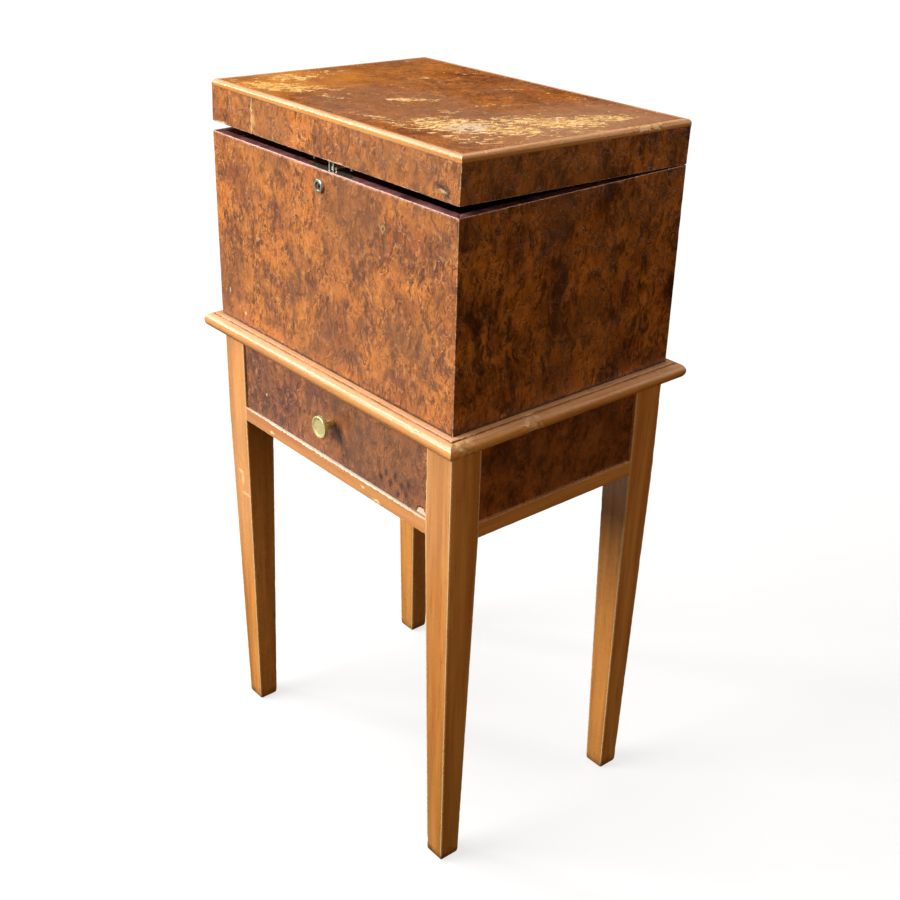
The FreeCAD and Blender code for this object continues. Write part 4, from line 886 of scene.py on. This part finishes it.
def flake(x, y):
    """Flaky breakup of the worn patches, drawn out across the lid."""
    turn = math.radians(62)
    along = (x * math.cos(turn) + y * math.sin(turn)) * 0.36
    across = y * math.cos(turn) - x * math.sin(turn)
    bend = 0.003 * noise.noise(Vector((x * 60, y * 60, 2)))
    return 0.80 * noise.fractal(Vector((along, across + bend, 0)) * 230, 0.55, 2.1, 4)


def ambered(x, y):
    """How far the varnish near the left end has gone amber, from 0 to about 1."""
    leftward = min(1.0, max(0.0, (-x / MM - 70) / 60)) * min(1.0, max(0.25, (60 - y / MM) / 90))
    return leftward * (0.7 + 0.8 * noise.noise(Vector((x * 30, y * 30, 9))))


def make_worn_top():
    """The top veneer with its flaked patches sunk towards the ground below."""
    half_x, half_y = HALF_W - BEAD, HALF_D - BEAD
    low, high = LID_TOP - VENEER, LID_TOP
    pitch = 1.1 * MM
    nx, ny = round(2 * half_x / pitch), round(2 * half_y / pitch)
    bm = bmesh.new()
    worn = bm.verts.layers.float.new("worn")
    amber = bm.verts.layers.float.new("amber")
    grid = []
    for j in range(ny + 1):
        row = []
        for i in range(nx + 1):
            x, y = -half_x + 2 * half_x * i / nx, -half_y + 2 * half_y * j / ny
            raw = wear_at(x, y) + flake(x, y) - FLAKE_START
            share = min(1.0, max(0.0, 0.5 + raw * 5))
            rim = min(i, nx - i, j, ny - j) == 0
            sunk = share * share * (3 - 2 * share) * FLAKE_DEPTH
            swell = 0.04 * MM * (1 + noise.noise(Vector((x * 25, y * 25, 3))))
            vert = bm.verts.new((x, y, high - sunk - swell * (not rim)))
            vert[worn] = share
            vert[amber] = ambered(x, y)
            row.append(vert)
        grid.append(row)
    for lower, upper in zip(grid, grid[1:]):
        for i in range(nx):
            bm.faces.new((lower[i], lower[i + 1], upper[i + 1], upper[i]))
    boundary = [edge for edge in bm.edges if edge.is_boundary]
    sides = bmesh.ops.extrude_edge_only(bm, edges=boundary)["geom"]
    lowest = [item for item in sides if isinstance(item, bmesh.types.BMVert)]
    for vert in lowest:
        vert.co.z = low
    bmesh.ops.holes_fill(bm, edges=[edge for edge in bm.edges if edge.is_boundary], sides=0)
    bmesh.ops.recalc_face_normals(bm, faces=bm.faces)
    bmesh.ops.transform(bm, matrix=SWING, verts=bm.verts)
    adopt(bm, "lid_top_veneer", ("worn_top",), 60)


# ---------------------------------------------------------------- metal
def dress_metal():
    """Aged finishes on the CAD nodes that are kept as they are: knob, lock, hinges and screws."""
    finish = {"aged_brass": "brass", "lock_metal": "lock", "screw_steel": "steel"}
    for node, piece in NODES.items():
        if SLOT_OF[node] in finish:
            piece.data.materials[0] = MATERIALS[finish[SLOT_OF[node]]]


# ---------------------------------------------------------------- stage, light and camera
def make_floor():
    """A plain pale floor that doesn't tint the object."""
    mesh = bpy.data.meshes.new("floor")
    bm = bmesh.new()
    bmesh.ops.create_grid(bm, x_segments=1, y_segments=1, size=40)
    bm.to_mesh(mesh)
    bm.free()
    floor = bpy.data.objects.new("floor", mesh)
    bpy.context.scene.collection.objects.link(floor)
    wiring = Wiring("pale_floor")
    distance = wiring.node("ShaderNodeVectorMath", {"operation": "LENGTH"}, {0: wiring.place}, 1)
    wiring.shader.inputs["Emission Color"].default_value = (1, 1, 1, 1)
    wiring.feed(wiring.shader.inputs["Emission Strength"], wiring.ramp(distance, 0.2, 4.5, 0.74, 1.0))
    grey = wiring.ramp(wiring.noise(wiring.place, 3, 3), 0.3, 0.7)
    colour = wiring.mix(grey, (0.29, 0.29, 0.29), (0.31, 0.31, 0.31))
    mesh.materials.append(wiring.finish(colour, 0.9, specular=0.0))
    floor.visible_diffuse = False
    floor.visible_glossy = False


def aim(thing, target):
    """Turn a light towards a point."""
    direction = Vector(target) - thing.location
    thing.rotation_euler = direction.to_track_quat("-Z", "Y").to_euler()


def area_light(name, place, target, size, power, colour=(1, 1, 1)):
    """A soft rectangular light that the camera doesn't see."""
    lamp = bpy.data.lights.new(name, "AREA")
    lamp.shape = "RECTANGLE"
    lamp.size, lamp.size_y = size
    lamp.energy = power
    lamp.color = colour
    light = bpy.data.objects.new(name, lamp)
    light.location = place
    bpy.context.scene.collection.objects.link(light)
    aim(light, target)
    light.visible_camera = False


def make_lights():
    """A large soft key from the front left, weak fills, and a white surround that only the camera sees."""
    area_light("key", (-1.3, -2.7, 1.9), (0, 0, 0.5), (2.0, 1.8), 126, (1, 0.985, 0.96))
    area_light("strip", (-1.9, -1.25, 1.75), (0, -0.1, 0.5), (0.28, 1.7), 22, (1, 0.98, 0.96))
    area_light("sky", (-0.3, -0.2, 3.2), (0, 0, 0.5), (2.2, 2.2), 60)
    area_light("ground", (-1.1, -1.4, 0.02), (-0.8, -1.0, 1.0), (1.6, 1.6), 5, (1, 0.97, 0.92))
    area_light("fill", (2.6, -0.6, 1.0), (0, 0, 0.5), (2.0, 2.0), 13, (1, 0.74, 0.42))
    area_light("behind", (1.7, 2.6, 1.3), (0, 0, 0.4), (1.6, 1.6), 14, (1, 0.92, 0.8))
    world = bpy.data.worlds.new("studio")
    bpy.context.scene.world = world
    world.use_nodes = True
    background = world.node_tree.nodes["Background"]
    background.inputs["Color"].default_value = (1, 1, 1, 1)
    background.inputs["Strength"].default_value = 1.0
    world.cycles_visibility.diffuse = False
    world.cycles_visibility.glossy = False


def make_camera():
    """The photograph's view: three-quarter from the front right, a little above the lid."""
    data = bpy.data.cameras.new("camera")
    data.sensor_width = 36
    data.lens = 52.93
    data.shift_x = 0.083
    data.shift_y = -0.025
    data.clip_start = 0.05
    data.clip_end = 100
    camera = bpy.data.objects.new("camera", data)
    camera.location = (1.0175, -0.8618, 1.0682)
    yaw, pitch, roll = math.radians(52.49), math.radians(-26.08), math.radians(0.03)
    camera.matrix_world = (Matrix.Translation(camera.location) @ Matrix.Rotation(yaw, 4, "Z")
                           @ Matrix.Rotation(math.pi / 2 + pitch, 4, "X") @ Matrix.Rotation(roll, 4, "Z"))
    bpy.context.scene.collection.objects.link(camera)
    bpy.context.scene.camera = camera
    bpy.context.scene.view_settings.view_transform = "Standard"


make_walls()
make_lid_rails()
make_aprons()
make_drawer_front()
make_plain_pieces()
for leg in ("front_left_leg", "front_right_leg", "back_left_leg", "back_right_leg"):
    make_leg(leg)
make_mouldings()
make_worn_top()
dress_metal()
make_floor()
make_lights()
make_camera()
